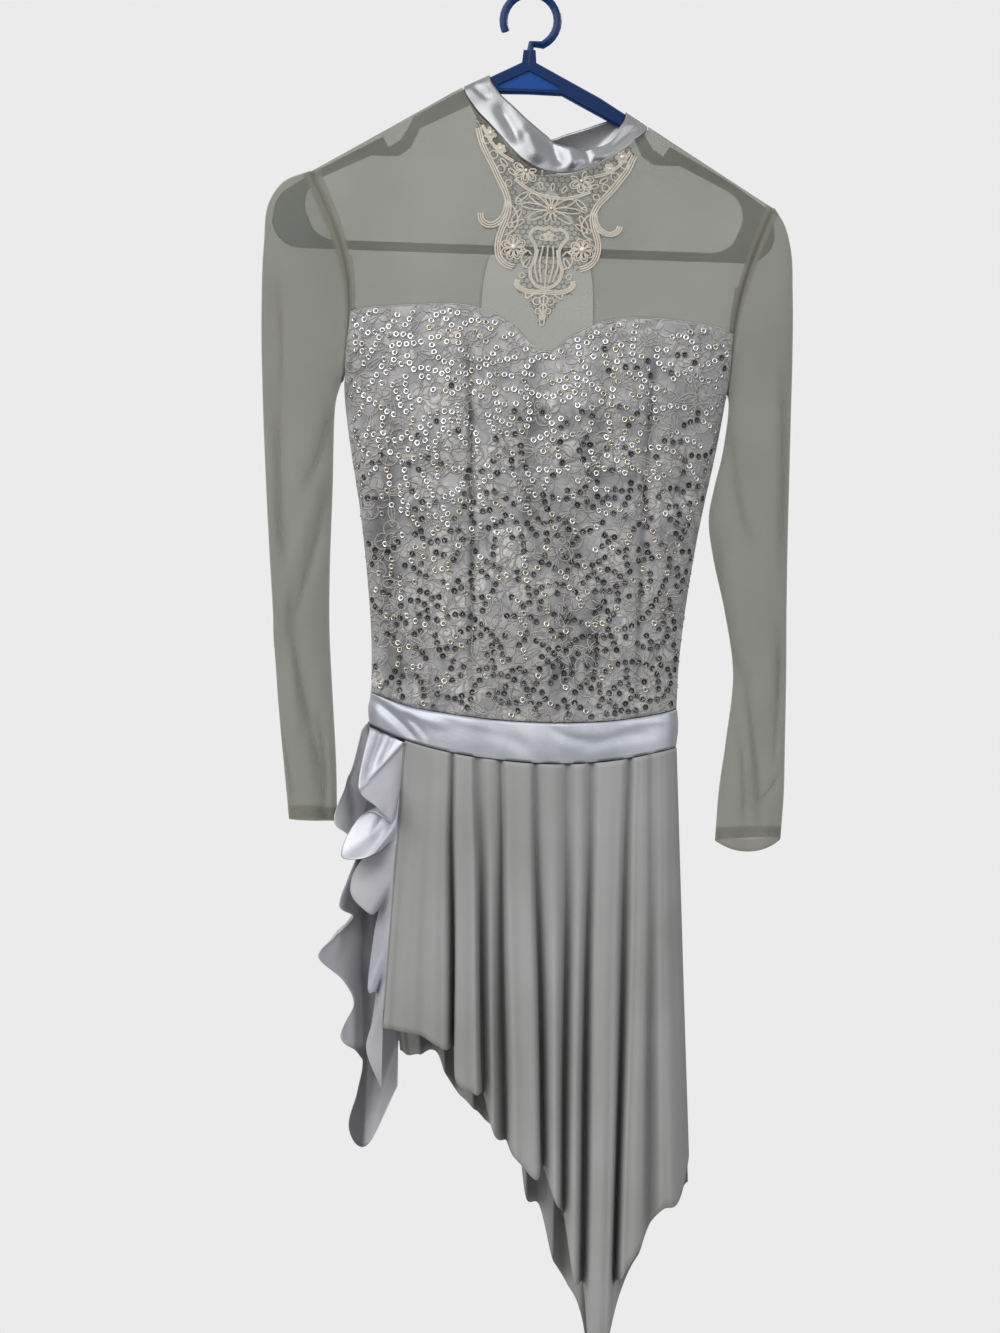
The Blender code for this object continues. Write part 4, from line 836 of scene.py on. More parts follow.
def skirt_points(which):
    """Half of the gathered skirt. Its folds deepen from the waistband to the slanting hem."""
    front = which == "front"
    table = SKIRT_FRONT if front else SKIRT_BACK
    sign = -1 if front else 1
    middle = SKIRT_MIDDLE_FRONT if front else SKIRT_MIDDLE_BACK
    rows_of_folds = len(table) - 2
    places = np.linspace(0.0, rows_of_folds, rows_of_folds * SKIRT_COLUMNS_A_FOLD + 1)
    band_x = section_at(table, "band_x", places)
    hem_x = section_at(table, "hem_x", places)
    hem_z = section_at(table, "hem_z", places)
    stands_out = section_at(table, "stands_out", places)
    level = np.clip((stands_out - GROOVE_LOWEST) / FOLD_SPAN, 0.0, 1.0)
    stands_out = GROOVE_LOWEST + FOLD_SPAN * (1 - (1 - level) ** FOLD_BROAD)
    for fold, height in enumerate(column(table, "stands_out")):
        if height < NIP_BELOW:
            stands_out -= FOLD_NIP * np.exp(-(((places - fold) / NIP_WIDE) ** 2))
    stands_out += 0.7 * np.sin(places * 5.1 + 1.0) + 0.5 * np.sin(places * 8.3)
    band_z = band_edge(band_x, "bottom", which) - SEAM_GAP
    band_depth = body_depth(band_x, band_z, which)
    across = np.clip(np.abs(hem_x - MIDDLE_X) / SKIRT_HALF_AT_HEM, 0.0, 1.0)
    hem_lens = np.sqrt(np.clip(1 - across**3, 0.0, 1.0))
    drops = np.linspace(0.0, 1.0, SKIRT_ROWS) ** 1.15
    points = np.zeros((len(drops), len(places), 3))
    for row, drop in enumerate(drops):
        sway = 1.6 * np.sin(places * 0.9 + drop * 5.0) * ease(drop * 3) * (1 - drop)
        sway *= ease(np.minimum(places, rows_of_folds - places) / 1.5)
        x = band_x + (hem_x - band_x) * drop + sway
        z = band_z + (hem_z - band_z) * drop
        share = GATHER_AT_BAND + (1 - GATHER_AT_BAND) * ease(drop * 1.25)
        mean = band_depth + (middle * hem_lens - band_depth) * ease(drop)
        depth = mean + stands_out * share * np.minimum(1.0, mean / 20.0)
        points[row] = np.stack([x, sign * np.maximum(depth, SIDE_SEAM_Y), z], axis=-1)
    return points


def ruffle_points(table, skirt_half):
    """A strip of satin that swings to and fro down the left hip, along one half of the skirt."""
    rows = len(table) - 1
    places = np.linspace(0.0, rows - 1, (rows - 1) * 6 + 1)
    sewn_z = section_at(table, "sewn_z", places)
    edge = skirt_half[:, 0]
    sewn_x = through(edge[:, 2], edge[:, 0], sewn_z) - RUFFLE_SEAM_GAP
    sewn_y = through(edge[:, 2], edge[:, 1], sewn_z)
    sewn = np.stack([sewn_x, sewn_y, sewn_z], axis=-1)
    free = np.stack([section_at(table, f"free_{a}", places) for a in "xyz"], axis=-1)
    return between(sewn, free, np.linspace(0.0, 1.0, 14))


def in_frame(points):
    """Millimetres in the dress's own x to metres in the frame."""
    return (np.asarray(points, float) - (HANGER_MIDDLE_X, 0.0, 0.0)) * MM


def new_piece(name, points, faces, finishes, slot):
    """A mesh object from points in millimetres and faces, with its finishes."""
    mesh = bpy.data.meshes.new(name)
    mesh.from_pydata(in_frame(points).tolist(), [], faces)
    for finish in finishes:
        mesh.materials.append(finish)
    mesh.shade_smooth()
    piece = bpy.data.objects.new(name, mesh)
    bpy.context.scene.collection.objects.link(piece)
    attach(piece, "root")
    return piece


def grid_faces(rows, columns, ring=False):
    index = np.arange(rows * columns).reshape(rows, columns)
    after = np.roll(index, -1, axis=1) if ring else index[:, 1:]
    before = index if ring else index[:, :-1]
    return np.stack([before[:-1], after[:-1], after[1:], before[1:]], axis=-1).reshape(-1, 4)


def cloth(name, points, finish, slot, ring=False, front=True, inside=None, values=None, matte=None):
    """A thin wall of cloth on a grid of points, its face to the front, the back or out of a ring.

    values names a vertex attribute and gives it for each point. Faces in matte show their inside in front.
    """
    values = values or {}
    normals = normals_of(points, ring)
    if ring:
        middle = points.mean(axis=1, keepdims=True)
        flip = (normals * (points - middle)).sum() < 0
    else:
        flip = normals[..., 1].mean() * (-1 if front else 1) < 0
    if flip:
        points = points[:, ::-1]
        values = {key: value[:, ::-1] for key, value in values.items()}
        matte = None if matte is None else matte[:, ::-1]
    open_points = points[:, :-1] if ring else points
    faces = grid_faces(*open_points.shape[:2], ring).tolist()
    piece = new_piece(name, open_points.reshape(-1, 3), faces, [finish, inside or finish, finish], slot)
    for key, value in values.items():
        open_value = value[:, :-1] if ring else value
        piece.data.attributes.new(key, "FLOAT", "POINT").data.foreach_set("value", open_value.ravel())
    if matte is not None:
        facing = np.empty(len(faces) * 3, np.float32)
        piece.data.polygons.foreach_get("normal", facing)
        turned = (facing[1::3] < 0) == matte.ravel()
        piece.data.polygons.foreach_set("material_index", turned.astype(np.int32))
    steps = np.linalg.norm(np.diff(points, axis=1), axis=-1)
    across = np.concatenate([np.zeros((len(points), 1)), np.cumsum(steps, axis=1)], axis=1)
    across -= across[:, -1:] / 2
    steps = np.linalg.norm(np.diff(points, axis=0), axis=-1)
    down = np.concatenate([np.zeros((1, points.shape[1])), np.cumsum(steps, axis=0)])
    low, high = slice(None, -1), slice(1, None)
    corners = ((low, low), (low, high), (high, high), (high, low))
    uv = np.stack([np.stack([across[c], -down[c]], axis=-1) for c in corners], axis=2)
    layer = piece.data.uv_layers.new(name="cloth")
    layer.data.foreach_set("uv", (uv * MM).ravel())
    solid = piece.modifiers.new("wall", "SOLIDIFY")
    solid.thickness = WALL * MM
    solid.offset = 0.0
    solid.material_offset = 1 if inside else 0
    return piece


def as_sheet(points):
    """Measures a cloth piece's flat cut, its longest row and column or a slanting strip's mean ones, and does
    nothing further with them.
    """
    rows = np.linalg.norm(np.diff(points, axis=1), axis=-1).sum(axis=1) * MM
    columns = np.linalg.norm(np.diff(points, axis=0), axis=-1).sum(axis=0) * MM
    width, length = rows.max(), columns.max()
    first = np.cross(points[1:, :-1] - points[:-1, :-1], points[:-1, 1:] - points[:-1, :-1])
    second = np.cross(points[1:, :-1] - points[1:, 1:], points[:-1, 1:] - points[1:, 1:])
    area = (np.linalg.norm(first, axis=-1) + np.linalg.norm(second, axis=-1)).sum() / 2 * MM * MM
    if area < 0.32 * width * length:
        width, length = rows.mean(), columns.mean()


def between_folds(points, front):
    """How deep each place lies between the standing folds beside it, from 0 to 1."""
    out = -points[..., 1] if front else points[..., 1]
    padded = np.pad(out, ((0, 0), (FOLD_REACH, FOLD_REACH)), mode="edge")
    crest = np.lib.stride_tricks.sliding_window_view(padded, 2 * FOLD_REACH + 1, axis=1).max(axis=-1)
    return np.clip((crest - out) / FOLD_DEEP, 0.0, 1.0)


def surface_of(points):
    """A search tree over a grid, to lay small things on it."""
    faces = grid_faces(*points.shape[:2])
    return BVHTree.FromPolygons(points.reshape(-1, 3).tolist(), faces.tolist())


def lie_on(tree, x, z, out, front=True):
    """The point at x, z on the cloth's front or back, moved out, and its normal. None past its edge."""
    sign = -1.0 if front else 1.0
    at, normal, _, _ = tree.ray_cast(Vector((x, sign * 200.0, z)), Vector((0.0, -sign, 0.0)))
    if at is None:
        return None, None
    if normal.y * sign < 0:
        normal = -normal
    return np.array(at + normal * out), np.array(normal)


def laid(tree, line, out, front=True):
    """A flat line of x, z laid on the cloth, as the stretches that are on it."""
    stretches, current = [], []
    for x, z in line:
        at, _ = lie_on(tree, x, z, out, front)
        if at is None:
            if len(current) > 1:
                stretches.append(np.array(current))
            current = []
        else:
            current.append(at)
    if len(current) > 1:
        stretches.append(np.array(current))
    return stretches


def tube(line, radius, sides, closed=False):
    """The points and faces of a cord along a line. Its ends are closed unless it is a loop."""
    line = np.asarray(line, float)
    if closed:
        tangents = np.roll(line, -1, axis=0) - np.roll(line, 1, axis=0)
    else:
        tangents = np.gradient(line, axis=0)
    tangents /= np.maximum(np.linalg.norm(tangents, axis=1), 1e-9)[:, None]
    reference = np.array([0.0, 1.0, 0.0])
    side = np.cross(tangents, reference)
    weak = np.linalg.norm(side, axis=1) < 0.2
    side[weak] = np.cross(tangents[weak], [0.0, 0.0, 1.0])
    side /= np.linalg.norm(side, axis=1)[:, None]
    up = np.cross(side, tangents)
    turns = np.linspace(0.0, 2 * math.pi, sides, endpoint=False)
    radii = np.broadcast_to(radius, (len(line),))
    ring = side[:, None] * np.cos(turns)[None, :, None] + up[:, None] * np.sin(turns)[None, :, None]
    points = line[:, None] + ring * radii[:, None, None]
    index = np.arange(len(line) * sides).reshape(len(line), sides)
    after = np.roll(index, -1, axis=1)
    if closed:
        low, low_after = np.roll(index, -1, axis=0), np.roll(after, -1, axis=0)
        faces = np.stack([index, low, low_after, after], axis=-1).reshape(-1, 4).tolist()
    else:
        faces = np.stack([index[:-1], index[1:], after[1:], after[:-1]], axis=-1).reshape(-1, 4).tolist()
        faces.append(index[0].tolist())
        faces.append(index[-1][::-1].tolist())
    return points.reshape(-1, 3), faces


def joined(parts):
    """Several lists of points and faces as one."""
    points, faces, start = [], [], 0
    for some, their_faces in parts:
        points.append(some)
        faces += [[i + start for i in face] for face in their_faces]
        start += len(some)
    return np.concatenate(points), faces


def cords(name, lines, radius, finish, slot, sides):
    """One piece of many cords of one radius."""
    return tubes(name, [tube(line, radius, sides) for line in lines], finish, slot)


def tubes(name, parts, finish, slot):
    """One piece of many lists of points and faces."""
    return new_piece(name, *joined(parts), [finish], slot)


def node(tree, kind, inputs=None, **settings):
    """A shader node with its settings. An input is a value or another node's socket."""
    made = tree.nodes.new(kind)
    for key, value in settings.items():
        setattr(made, key, value)
    for name, value in (inputs or {}).items():
        if isinstance(value, bpy.types.NodeSocket):
            tree.links.new(value, made.inputs[name])
        else:
            made.inputs[name].default_value = value
    return made


def blank_finish(name, roughness, metallic=0.0, sheen=0.0, specular=0.5):
    made = bpy.data.materials.new(name)
    made.use_nodes = True
    tree = made.node_tree
    shader = tree.nodes["Principled BSDF"]
    shader.inputs["Roughness"].default_value = roughness
    shader.inputs["Metallic"].default_value = metallic
    shader.inputs["Sheen Weight"].default_value = sheen
    shader.inputs["Specular IOR Level"].default_value = specular
    return made, tree, shader


def blend(tree, factor, low, high):
    """A colour between low and high, each a value or another node's socket."""
    low, high = ((*shade, 1.0) if isinstance(shade, tuple) else shade for shade in (low, high))
    return node(tree, "ShaderNodeMix", {0: factor, 6: low, 7: high}, data_type="RGBA").outputs[2]


def maths(tree, operation, first, second=0.0):
    return node(tree, "ShaderNodeMath", {0: first, 1: second}, operation=operation).outputs[0]


def mapped(tree, value, low=0.0, high=1.0, to_low=0.0, to_high=1.0):
    """A value moved from the range low to high to the range to_low to to_high."""
    span = {"Value": value, "From Min": low, "From Max": high, "To Min": to_low, "To Max": to_high}
    return node(tree, "ShaderNodeMapRange", span).outputs[0]


def attribute(tree, name):
    """A value that the cloth's points carry."""
    return node(tree, "ShaderNodeAttribute", attribute_name=name).outputs["Fac"]


def object_place(tree):
    return node(tree, "ShaderNodeTexCoord").outputs["Object"]


def painted(tree, shader, shade):
    tree.links.new(shade, shader.inputs["Base Color"])


def weave(tree, pitch, turn=0.0):
    """Threads across and along the cloth, pitch metres apart, from 0 in the holes to 1."""
    uv = node(tree, "ShaderNodeUVMap", uv_map="cloth").outputs[0]
    turned = node(tree, "ShaderNodeMapping", {"Vector": uv, "Rotation": (0.0, 0.0, turn)}).outputs[0]
    waves = {"Vector": turned, "Scale": math.pi / 10 / pitch}
    across, along = (node(tree, "ShaderNodeTexWave", waves, bands_direction=way) for way in ("X", "Y"))
    return maths(tree, "MAXIMUM", across.outputs["Fac"], along.outputs["Fac"])


def cloudy(tree, scale, detail=3.0, low=0.35, high=0.65):
    """Soft uneven patches from 0 to 1, scale to a metre."""
    noise = {"Vector": object_place(tree), "Scale": scale, "Detail": detail}
    return mapped(tree, node(tree, "ShaderNodeTexNoise", noise).outputs["Fac"], low, high)


def bumped(tree, shader, height, distance, strength=1.0):
    bump = node(tree, "ShaderNodeBump", {"Height": height, "Distance": distance, "Strength": strength})
    tree.links.new(bump.outputs[0], shader.inputs["Normal"])


def painted_shade_in_folds(tree, shade, share, dark):
    """Painted shade: the colour shade with up to a share of the dark one mixed in where the cloth's fold
    value is 1.
    """
    return blend(tree, maths(tree, "MULTIPLY", attribute(tree, "fold"), share), shade, dark)


def net_finish(name, thin, thick):
    """Sheer matt grey power net. Where it lies doubled it covers more and looks darker."""
    made, tree, shader = blank_finish(name, 0.85, sheen=0.1, specular=0.2)
    threads = weave(tree, NET_PITCH, NET_TURN)
    doubled = attribute(tree, "layers")
    plain = blend(tree, cloudy(tree, 9.0), (0.195, 0.20, 0.165), (0.24, 0.246, 0.208))
    painted(tree, shader, blend(tree, doubled, plain, (0.215, 0.215, 0.18)))
    cover = mapped(tree, threads, to_low=thin, to_high=thick)
    cover = maths(tree, "ADD", cover, maths(tree, "MULTIPLY", doubled, NET_DOUBLED))
    tree.links.new(cover, shader.inputs["Alpha"])
    bumped(tree, shader, threads, 0.00015, 0.6)
    return made


def knit_finish():
    """Soft matt grey mesh of the skirt, with painted shade between its folds."""
    made, tree, shader = blank_finish("skirt mesh", 0.7, sheen=0.12, specular=0.25)
    threads = weave(tree, KNIT_PITCH)
    shade = blend(tree, cloudy(tree, 7.0), (0.262, 0.268, 0.262), (0.325, 0.332, 0.332))
    painted(tree, shader, painted_shade_in_folds(tree, shade, 0.42, (0.075, 0.08, 0.08)))
    bumped(tree, shader, threads, 0.00012, 0.5)
    return made


def satin_finish(name, low, high, roughness, metallic):
    made, tree, shader = blank_finish(name, roughness, metallic, sheen=0.2)
    shader.inputs["Anisotropic"].default_value = 0.3
    shade = blend(tree, cloudy(tree, 26.0, 4.0), low, high)
    # Painted shade: near black mixed into the colour where the cloth's fold value is 1
    painted(tree, shader, painted_shade_in_folds(tree, shade, 0.75, (0.025, 0.028, 0.03)))
    bumped(tree, shader, cloudy(tree, 1100.0, 2.0, 0.3, 0.7), 0.00012, 0.5)
    return made


def weighted(tree, vector, weights):
    made = node(tree, "ShaderNodeVectorMath", {0: vector, 1: weights}, operation="MULTIPLY")
    return made.outputs[0]


def sequin_cloth_finish():
    """Grey lining with corded lace on it. The lace share comes from the cloth. Painted shade darkens its
    creases and random patches.
    """
    made, tree, shader = blank_finish("rose lace", 0.6, sheen=0.3, specular=0.4)
    place = object_place(tree)
    wander = node(tree, "ShaderNodeTexNoise", {"Vector": place, "Scale": 70.0, "Detail": 1.0})
    wander = weighted(tree, wander.outputs["Color"], (0.018, 0.0, 0.018))
    wander = node(tree, "ShaderNodeVectorMath", {0: place, 1: wander}, operation="ADD").outputs[0]
    flat = weighted(tree, wander, (1.0, 0.0, 1.0))
    petals = []
    for scale, width in ((88.0, 0.10), (190.0, 0.14)):
        cells = {"Vector": flat, "Scale": scale}
        cells = node(tree, "ShaderNodeTexVoronoi", cells, feature="DISTANCE_TO_EDGE")
        petals.append(mapped(tree, cells.outputs["Distance"], 0.02, width))
    petal = maths(tree, "MULTIPLY", petals[0], mapped(tree, petals[1], to_low=0.62))
    petal = maths(tree, "MULTIPLY", petal, mapped(tree, attribute(tree, "lace"), to_low=0.4))
    ground = blend(tree, cloudy(tree, 30.0), (0.20, 0.20, 0.215), (0.36, 0.355, 0.375))
    light = blend(tree, cloudy(tree, 18.0), (0.41, 0.405, 0.395), (0.60, 0.595, 0.575))
    # Painted shade: random patches, and the creases by the cloth's fold value
    patches = mapped(tree, cloudy(tree, 34.0, 2.0), to_high=0.3)
    dark = maths(tree, "ADD", maths(tree, "MULTIPLY", attribute(tree, "fold"), 0.55), patches)
    shade = blend(tree, petal, ground, light)
    painted(tree, shader, blend(tree, dark, shade, (0.03, 0.03, 0.032)))
    bumped(tree, shader, petal, 0.0007, 0.9)
    return made


def plain_finish(name, colour, roughness, metallic=0.0, sheen=0.0, grain=0.0, pitch=900.0):
    """One colour with faint uneven patches and a fine grain."""
    made, tree, shader = blank_finish(name, roughness, metallic, sheen)
    low = tuple(c * 0.88 for c in colour)
    painted(tree, shader, blend(tree, cloudy(tree, 60.0), low, colour))
    if grain:
        bumped(tree, shader, cloudy(tree, pitch, 2.0, 0.3, 0.7), grain)
    return made


def foil_finish():
    """Sequin foil: each sequin has its own tone, the dark tones being painted dark reflection."""
    made, tree, shader = blank_finish("sequin foil", 0.2, metallic=0.85)
    tone = node(tree, "ShaderNodeAttribute", attribute_name="tone").outputs["Color"]
    tree.links.new(tone, shader.inputs["Base Color"])
    return made


def plastic_finish():
    """Moulded blue plastic: a clear bright web, and darker where the rim stands thick."""
    made, tree, shader = blank_finish("blue plastic", 0.3, specular=0.22)
    depth = node(tree, "ShaderNodeSeparateXYZ", {0: object_place(tree)}).outputs["Y"]
    rim = mapped(tree, maths(tree, "ABSOLUTE", depth), 0.0015, 0.0026)
    painted(tree, shader, blend(tree, rim, (0.006, 0.058, 0.27), (0.002, 0.021, 0.095)))
    bumped(tree, shader, cloudy(tree, 420.0, 2.0), 0.00008, 0.5)
    return made


def rose_lines(radius, turn):
    """The cords of one rose about the origin: a coiled heart and two rounds of petals."""
    lines = []
    t = np.linspace(0.0, 1.0, 22)
    angle = turn + t * 4.4 * math.pi / 1.6
    reach = radius * (0.05 + 0.2 * t)
    lines.append(np.stack([reach * np.cos(angle), reach * np.sin(angle)], axis=-1))
    for count, low, high, start in ((3, 0.30, 0.50, 0.4), (5, 0.56, 0.95, 1.1)):
        for petal in range(count):
            t = np.linspace(-0.08, 1.08, 15)
            angle = turn + start + (petal + t) * 2 * math.pi / count
            reach = radius * (low + (high - low) * np.clip(np.sin(math.pi * np.clip(t, 0, 1)), 0, 1) ** 0.6)
            lines.append(np.stack([reach * np.cos(angle), reach * np.sin(angle)], axis=-1))
            if count == 5:
                t = np.linspace(0.0, 1.0, 5)
                angle = turn + start + (petal + 0.42 + 0.12 * t) * 2 * math.pi / count
                reach = radius * (0.6 + 0.28 * t)
                lines.append(np.stack([reach * np.cos(angle), reach * np.sin(angle)], axis=-1))
    return lines


def leaf_lines(long, wide, turn):
    """The cords of one leaf that starts at the origin: its edge and its vein."""
    t = np.linspace(0.0, 2 * math.pi, 20)
    edge = np.stack([long * (1 - np.cos(t)) / 2, wide / 2 * np.sin(t) * np.sin(t / 2)], axis=-1)
    vein = np.stack([np.linspace(0.1, 0.85, 5) * long, np.zeros(5)], axis=-1)
    spin = np.array([[math.cos(turn), math.sin(turn)], [-math.sin(turn), math.cos(turn)]])
    return [edge @ spin, vein @ spin]


def rose_layout(seed):
    """Places of the roses over a bodice: x, z, radius, turn and the turns of their leaves."""
    draw = np.random.default_rng(seed)
    places = []
    for row in range(ROSE_ROWS):
        for place in range(ROSES_IN_ROW):
            x = ROSE_FIRST_X + (place + 0.5 * (row % 2)) * ROSE_PITCH_X + draw.uniform(-1, 1) * ROSE_JITTER
            z = ROSE_FIRST_Z - row * ROSE_PITCH_Z + draw.uniform(-1, 1) * ROSE_JITTER
            radius = ROSE_RADIUS * draw.uniform(0.85, 1.12)
            leaves = draw.uniform(0, 2 * math.pi) + np.array([0.0, 2.2, 4.1])
            places.append((x, z, radius, draw.uniform(0, 2 * math.pi), leaves))
    return places


def lace_share(x, z, roses):
    """1 on the petals and leaves of the corded lace and 0 on the bare lining between them."""
    share = np.zeros(np.shape(x))
    for rose_x, rose_z, radius, turn, leaves in roses:
        across, up = x - rose_x, z - rose_z
        far = np.hypot(across, up)
        angle = np.arctan2(up, across) - turn - 1.1
        edge = radius * (0.8 + 0.16 * np.abs(np.sin(2.5 * angle)))
        share = np.maximum(share, ease((edge - far) / 2.0 + 0.5))
        for leaf in leaves:
            along = across * math.cos(leaf) + up * math.sin(leaf) - radius * LEAF_LONG
            off = -across * math.sin(leaf) + up * math.cos(leaf)
            t = np.clip(along / (radius * LEAF_LONG), 0.0, 1.0)
            half = radius * LEAF_WIDE / 2 * np.sin(math.pi * t) ** 0.8
            share = np.maximum(share, ease((half - np.abs(off)) / 1.6 + 0.3) * (t > 0) * (t < 1))
    return share


def sequin_shape():
    """One sequin as points about its hole and faces: a cupped ring with a thickness."""
    turns = np.linspace(0.0, 2 * math.pi, SEQUIN_SIDES, endpoint=False)
    rings = (
        (SEQUIN_HOLE, 0.12),
        (SEQUIN_RADIUS * 0.72, 0.2),
        (SEQUIN_RADIUS, 0.52),
        (SEQUIN_RADIUS * 0.72, 0.08),
    )
    points = np.array([[r * math.cos(t), r * math.sin(t), out] for r, out in rings for t in turns])
    index = np.arange(len(points)).reshape(len(rings), SEQUIN_SIDES)
    closed = np.concatenate([index, index[:1]])
    after = np.roll(closed, -1, axis=1)
    faces = np.stack([closed[:-1], closed[1:], after[1:], after[:-1]], axis=-1).reshape(-1, 4)
    return points, faces


def sequin_trails(seed, count, tree, front):
    """Places for sequins, in short trails that wander over the lace."""
    draw = np.random.default_rng(seed)
    cells, places = {}, []

    def free(x, z):
        cell_x, cell_z = int(x // SEQUIN_PITCH), int(z // SEQUIN_PITCH)
        for i in (-1, 0, 1):
            for j in (-1, 0, 1):
                for other in cells.get((cell_x + i, cell_z + j), ()):
                    if math.hypot(x - other[0], z - other[1]) < SEQUIN_APART:
                        return False
        return True

    for _ in range(SEQUIN_TRAILS_MOST):
        if len(places) >= count:
            break
        x, z = draw.uniform(*SEQUINS_IN_X), draw.uniform(*SEQUINS_IN_Z)
        heading, turn = draw.uniform(0, 2 * math.pi), draw.uniform(-0.42, 0.42)
        for _ in range(draw.integers(6, 16)):
            if not free(x, z):
                break
            at, normal = lie_on(tree, x, z, SEQUIN_OUT, front)
            near = [(x + i, z + j) for i, j in ((3, 0), (-3, 0), (0, 3), (0, -3))]
            inside = all(lie_on(tree, *place, 0.0, front)[0] is not None for place in near)
            if at is None or not inside:
                break
            cells.setdefault((int(x // SEQUIN_PITCH), int(z // SEQUIN_PITCH)), []).append((x, z))
            places.append((at, normal))
            heading += turn + draw.uniform(-0.15, 0.15)
            x, z = x + SEQUIN_PITCH * math.cos(heading), z + SEQUIN_PITCH * math.sin(heading)
    return places


def sequins(name, seed, count, tree, front, finish):
    """All the sequins of one bodice half as one mesh, each with its own lean and tone."""
    draw = np.random.default_rng(seed + 1)
    shape, shape_faces = sequin_shape()
    places = sequin_trails(seed, count, tree, front)
    points, faces, tones = [], [], []
    for number, (at, normal) in enumerate(places):
        lean = normal + draw.normal(0.0, SEQUIN_TILT / 2, 3)
        lean /= np.linalg.norm(lean)
        side = np.cross(lean, (0.0, 0.0, 1.0))
        side /= np.linalg.norm(side)
        up = np.cross(side, lean)
        points.append(at + shape @ np.stack([side, up, lean]))
        faces.append(shape_faces + number * len(shape))
        # Painted dark reflection: the share of dark sequins grows towards the waist and, in front, to the
        # right. Warm and silver tones fall at random.
        down = np.clip((-262.0 - at[2]) / 330.0, 0.0, 1.0)
        right = np.clip((at[0] - MIDDLE_X) / 150.0, -1.0, 1.0) if front else 0.0
        dark = 0.05 + 0.8 * ease(down * 1.25 - 0.12) + 0.16 * right
        pick = draw.random()
        if pick < dark:
            tone = np.array(PAINTED_DARK_FOIL) * draw.uniform(0.7, 2.2)
        elif pick < dark + WARM_SHARE:
            tone = np.array(WARM_FOIL) * draw.uniform(0.7, 1.05)
        else:
            tone = np.array(SILVER_FOIL) * draw.uniform(0.75, 1.1)
        tones.append(np.repeat([[*np.clip(tone, 0, 1), 1.0]], len(shape), axis=0))
    points, faces = np.concatenate(points), np.concatenate(faces).tolist()
    piece = new_piece(name, points, faces, [finish], "sequin_lace")
    tone = piece.data.color_attributes.new("tone", "FLOAT_COLOR", "POINT")
    tone.data.foreach_set("color", np.concatenate(tones).ravel())


def armhole_seam(side, which):
    """The line of the armhole seam over the front or the back, from the shoulder to the underarm."""
    top = float(shoulder_z(SHOULDER_LEFT_X if side < 0 else SHOULDER_RIGHT_X))
    z = np.linspace(top - 1.0, UNDERARM_Z, 80)
    x = armhole_x(z, side)
    sign = -1 if which == "front" else 1
    return np.stack([x, sign * (body_depth(x, z, which) + 0.1), z], axis=-1)


def seam_cords(thread):
    """Narrow rolled seams that close the armholes."""
    lines = [armhole_seam(side, which) for side in (-1, 1) for which in ("front", "back")]
    cords("armhole_seams", lines, ARMHOLE_CORD, thread, "sheer_mesh", sides=8)


def side_seams(halves, sewn, thread):
    """Rolled seams that close the skirt's right side and hold the ruffles on its left."""
    front, back = (half[:, -1] for half in halves)
    z = np.linspace(front[0, 2], max(front[-1, 2], back[-1, 2]), 90)
    x = (through(front[:, 2], front[:, 0], z) + through(back[:, 2], back[:, 0], z)) / 2
    lines = [np.stack([x, 0.0 * z, z], axis=-1)]
    lines += [line + (RUFFLE_SEAM_GAP / 2, 0.0, 0.0) for line in sewn]
    cords("side_seams", lines, SIDE_SEAM_CORD, thread, "skirt_mesh", sides=6)


def lace_place(across, up):
    """A point of the lace in the dress's x and z. It leans with the collar and drifts to the left."""
    across, up = np.asarray(across, float), np.asarray(up, float)
    lean = LACE_LEAN * across * np.clip((up + 60.0) / 60.0, 0.0, 1.0)
    return np.stack([LACE_X + across + LACE_DRIFT * up, LACE_Z + up + lean], axis=-1)


def petal_loop(across, up, turn, long, wide):
    """A pointed loop that starts at across, up and runs along turn."""
    t = np.linspace(0.0, 2 * math.pi, 16, endpoint=False)
    along = long * (1 - np.cos(t)) / 2
    off = wide / 2 * np.sin(t) * (0.55 + 0.45 * np.sin(t / 2))
    c, s = math.cos(turn), math.sin(turn)
    return np.stack([across + along * c - off * s, up + along * s + off * c], axis=-1)


def inside_outline(x, z, outline):
    """Whether x, z is inside a closed outline."""
    hit = False
    for (x1, z1), (x2, z2) in zip(outline, np.roll(outline, -1, axis=0)):
        if (z1 > z) != (z2 > z) and x < (x2 - x1) * (z - z1) / (z2 - z1) + x1:
            hit = not hit
    return hit


def lace_outline():
    along = np.linspace(0.0, len(COLLAR_FRONT) - 2.0, 60)
    edge = collar_edge(COLLAR_FRONT, "low", along)
    inside = np.abs(edge[:, 0] - LACE_X) < LACE_REACH
    outline = [(x, z - 2.0) for x, _, z in edge[inside][::4]]
    outline += [tuple(lace_place(across, up)) for across, up in LACE_HALF[1:]]
    outline += [tuple(lace_place(-across, up)) for across, up in LACE_HALF[-2:0:-1]]
    return np.array(outline)


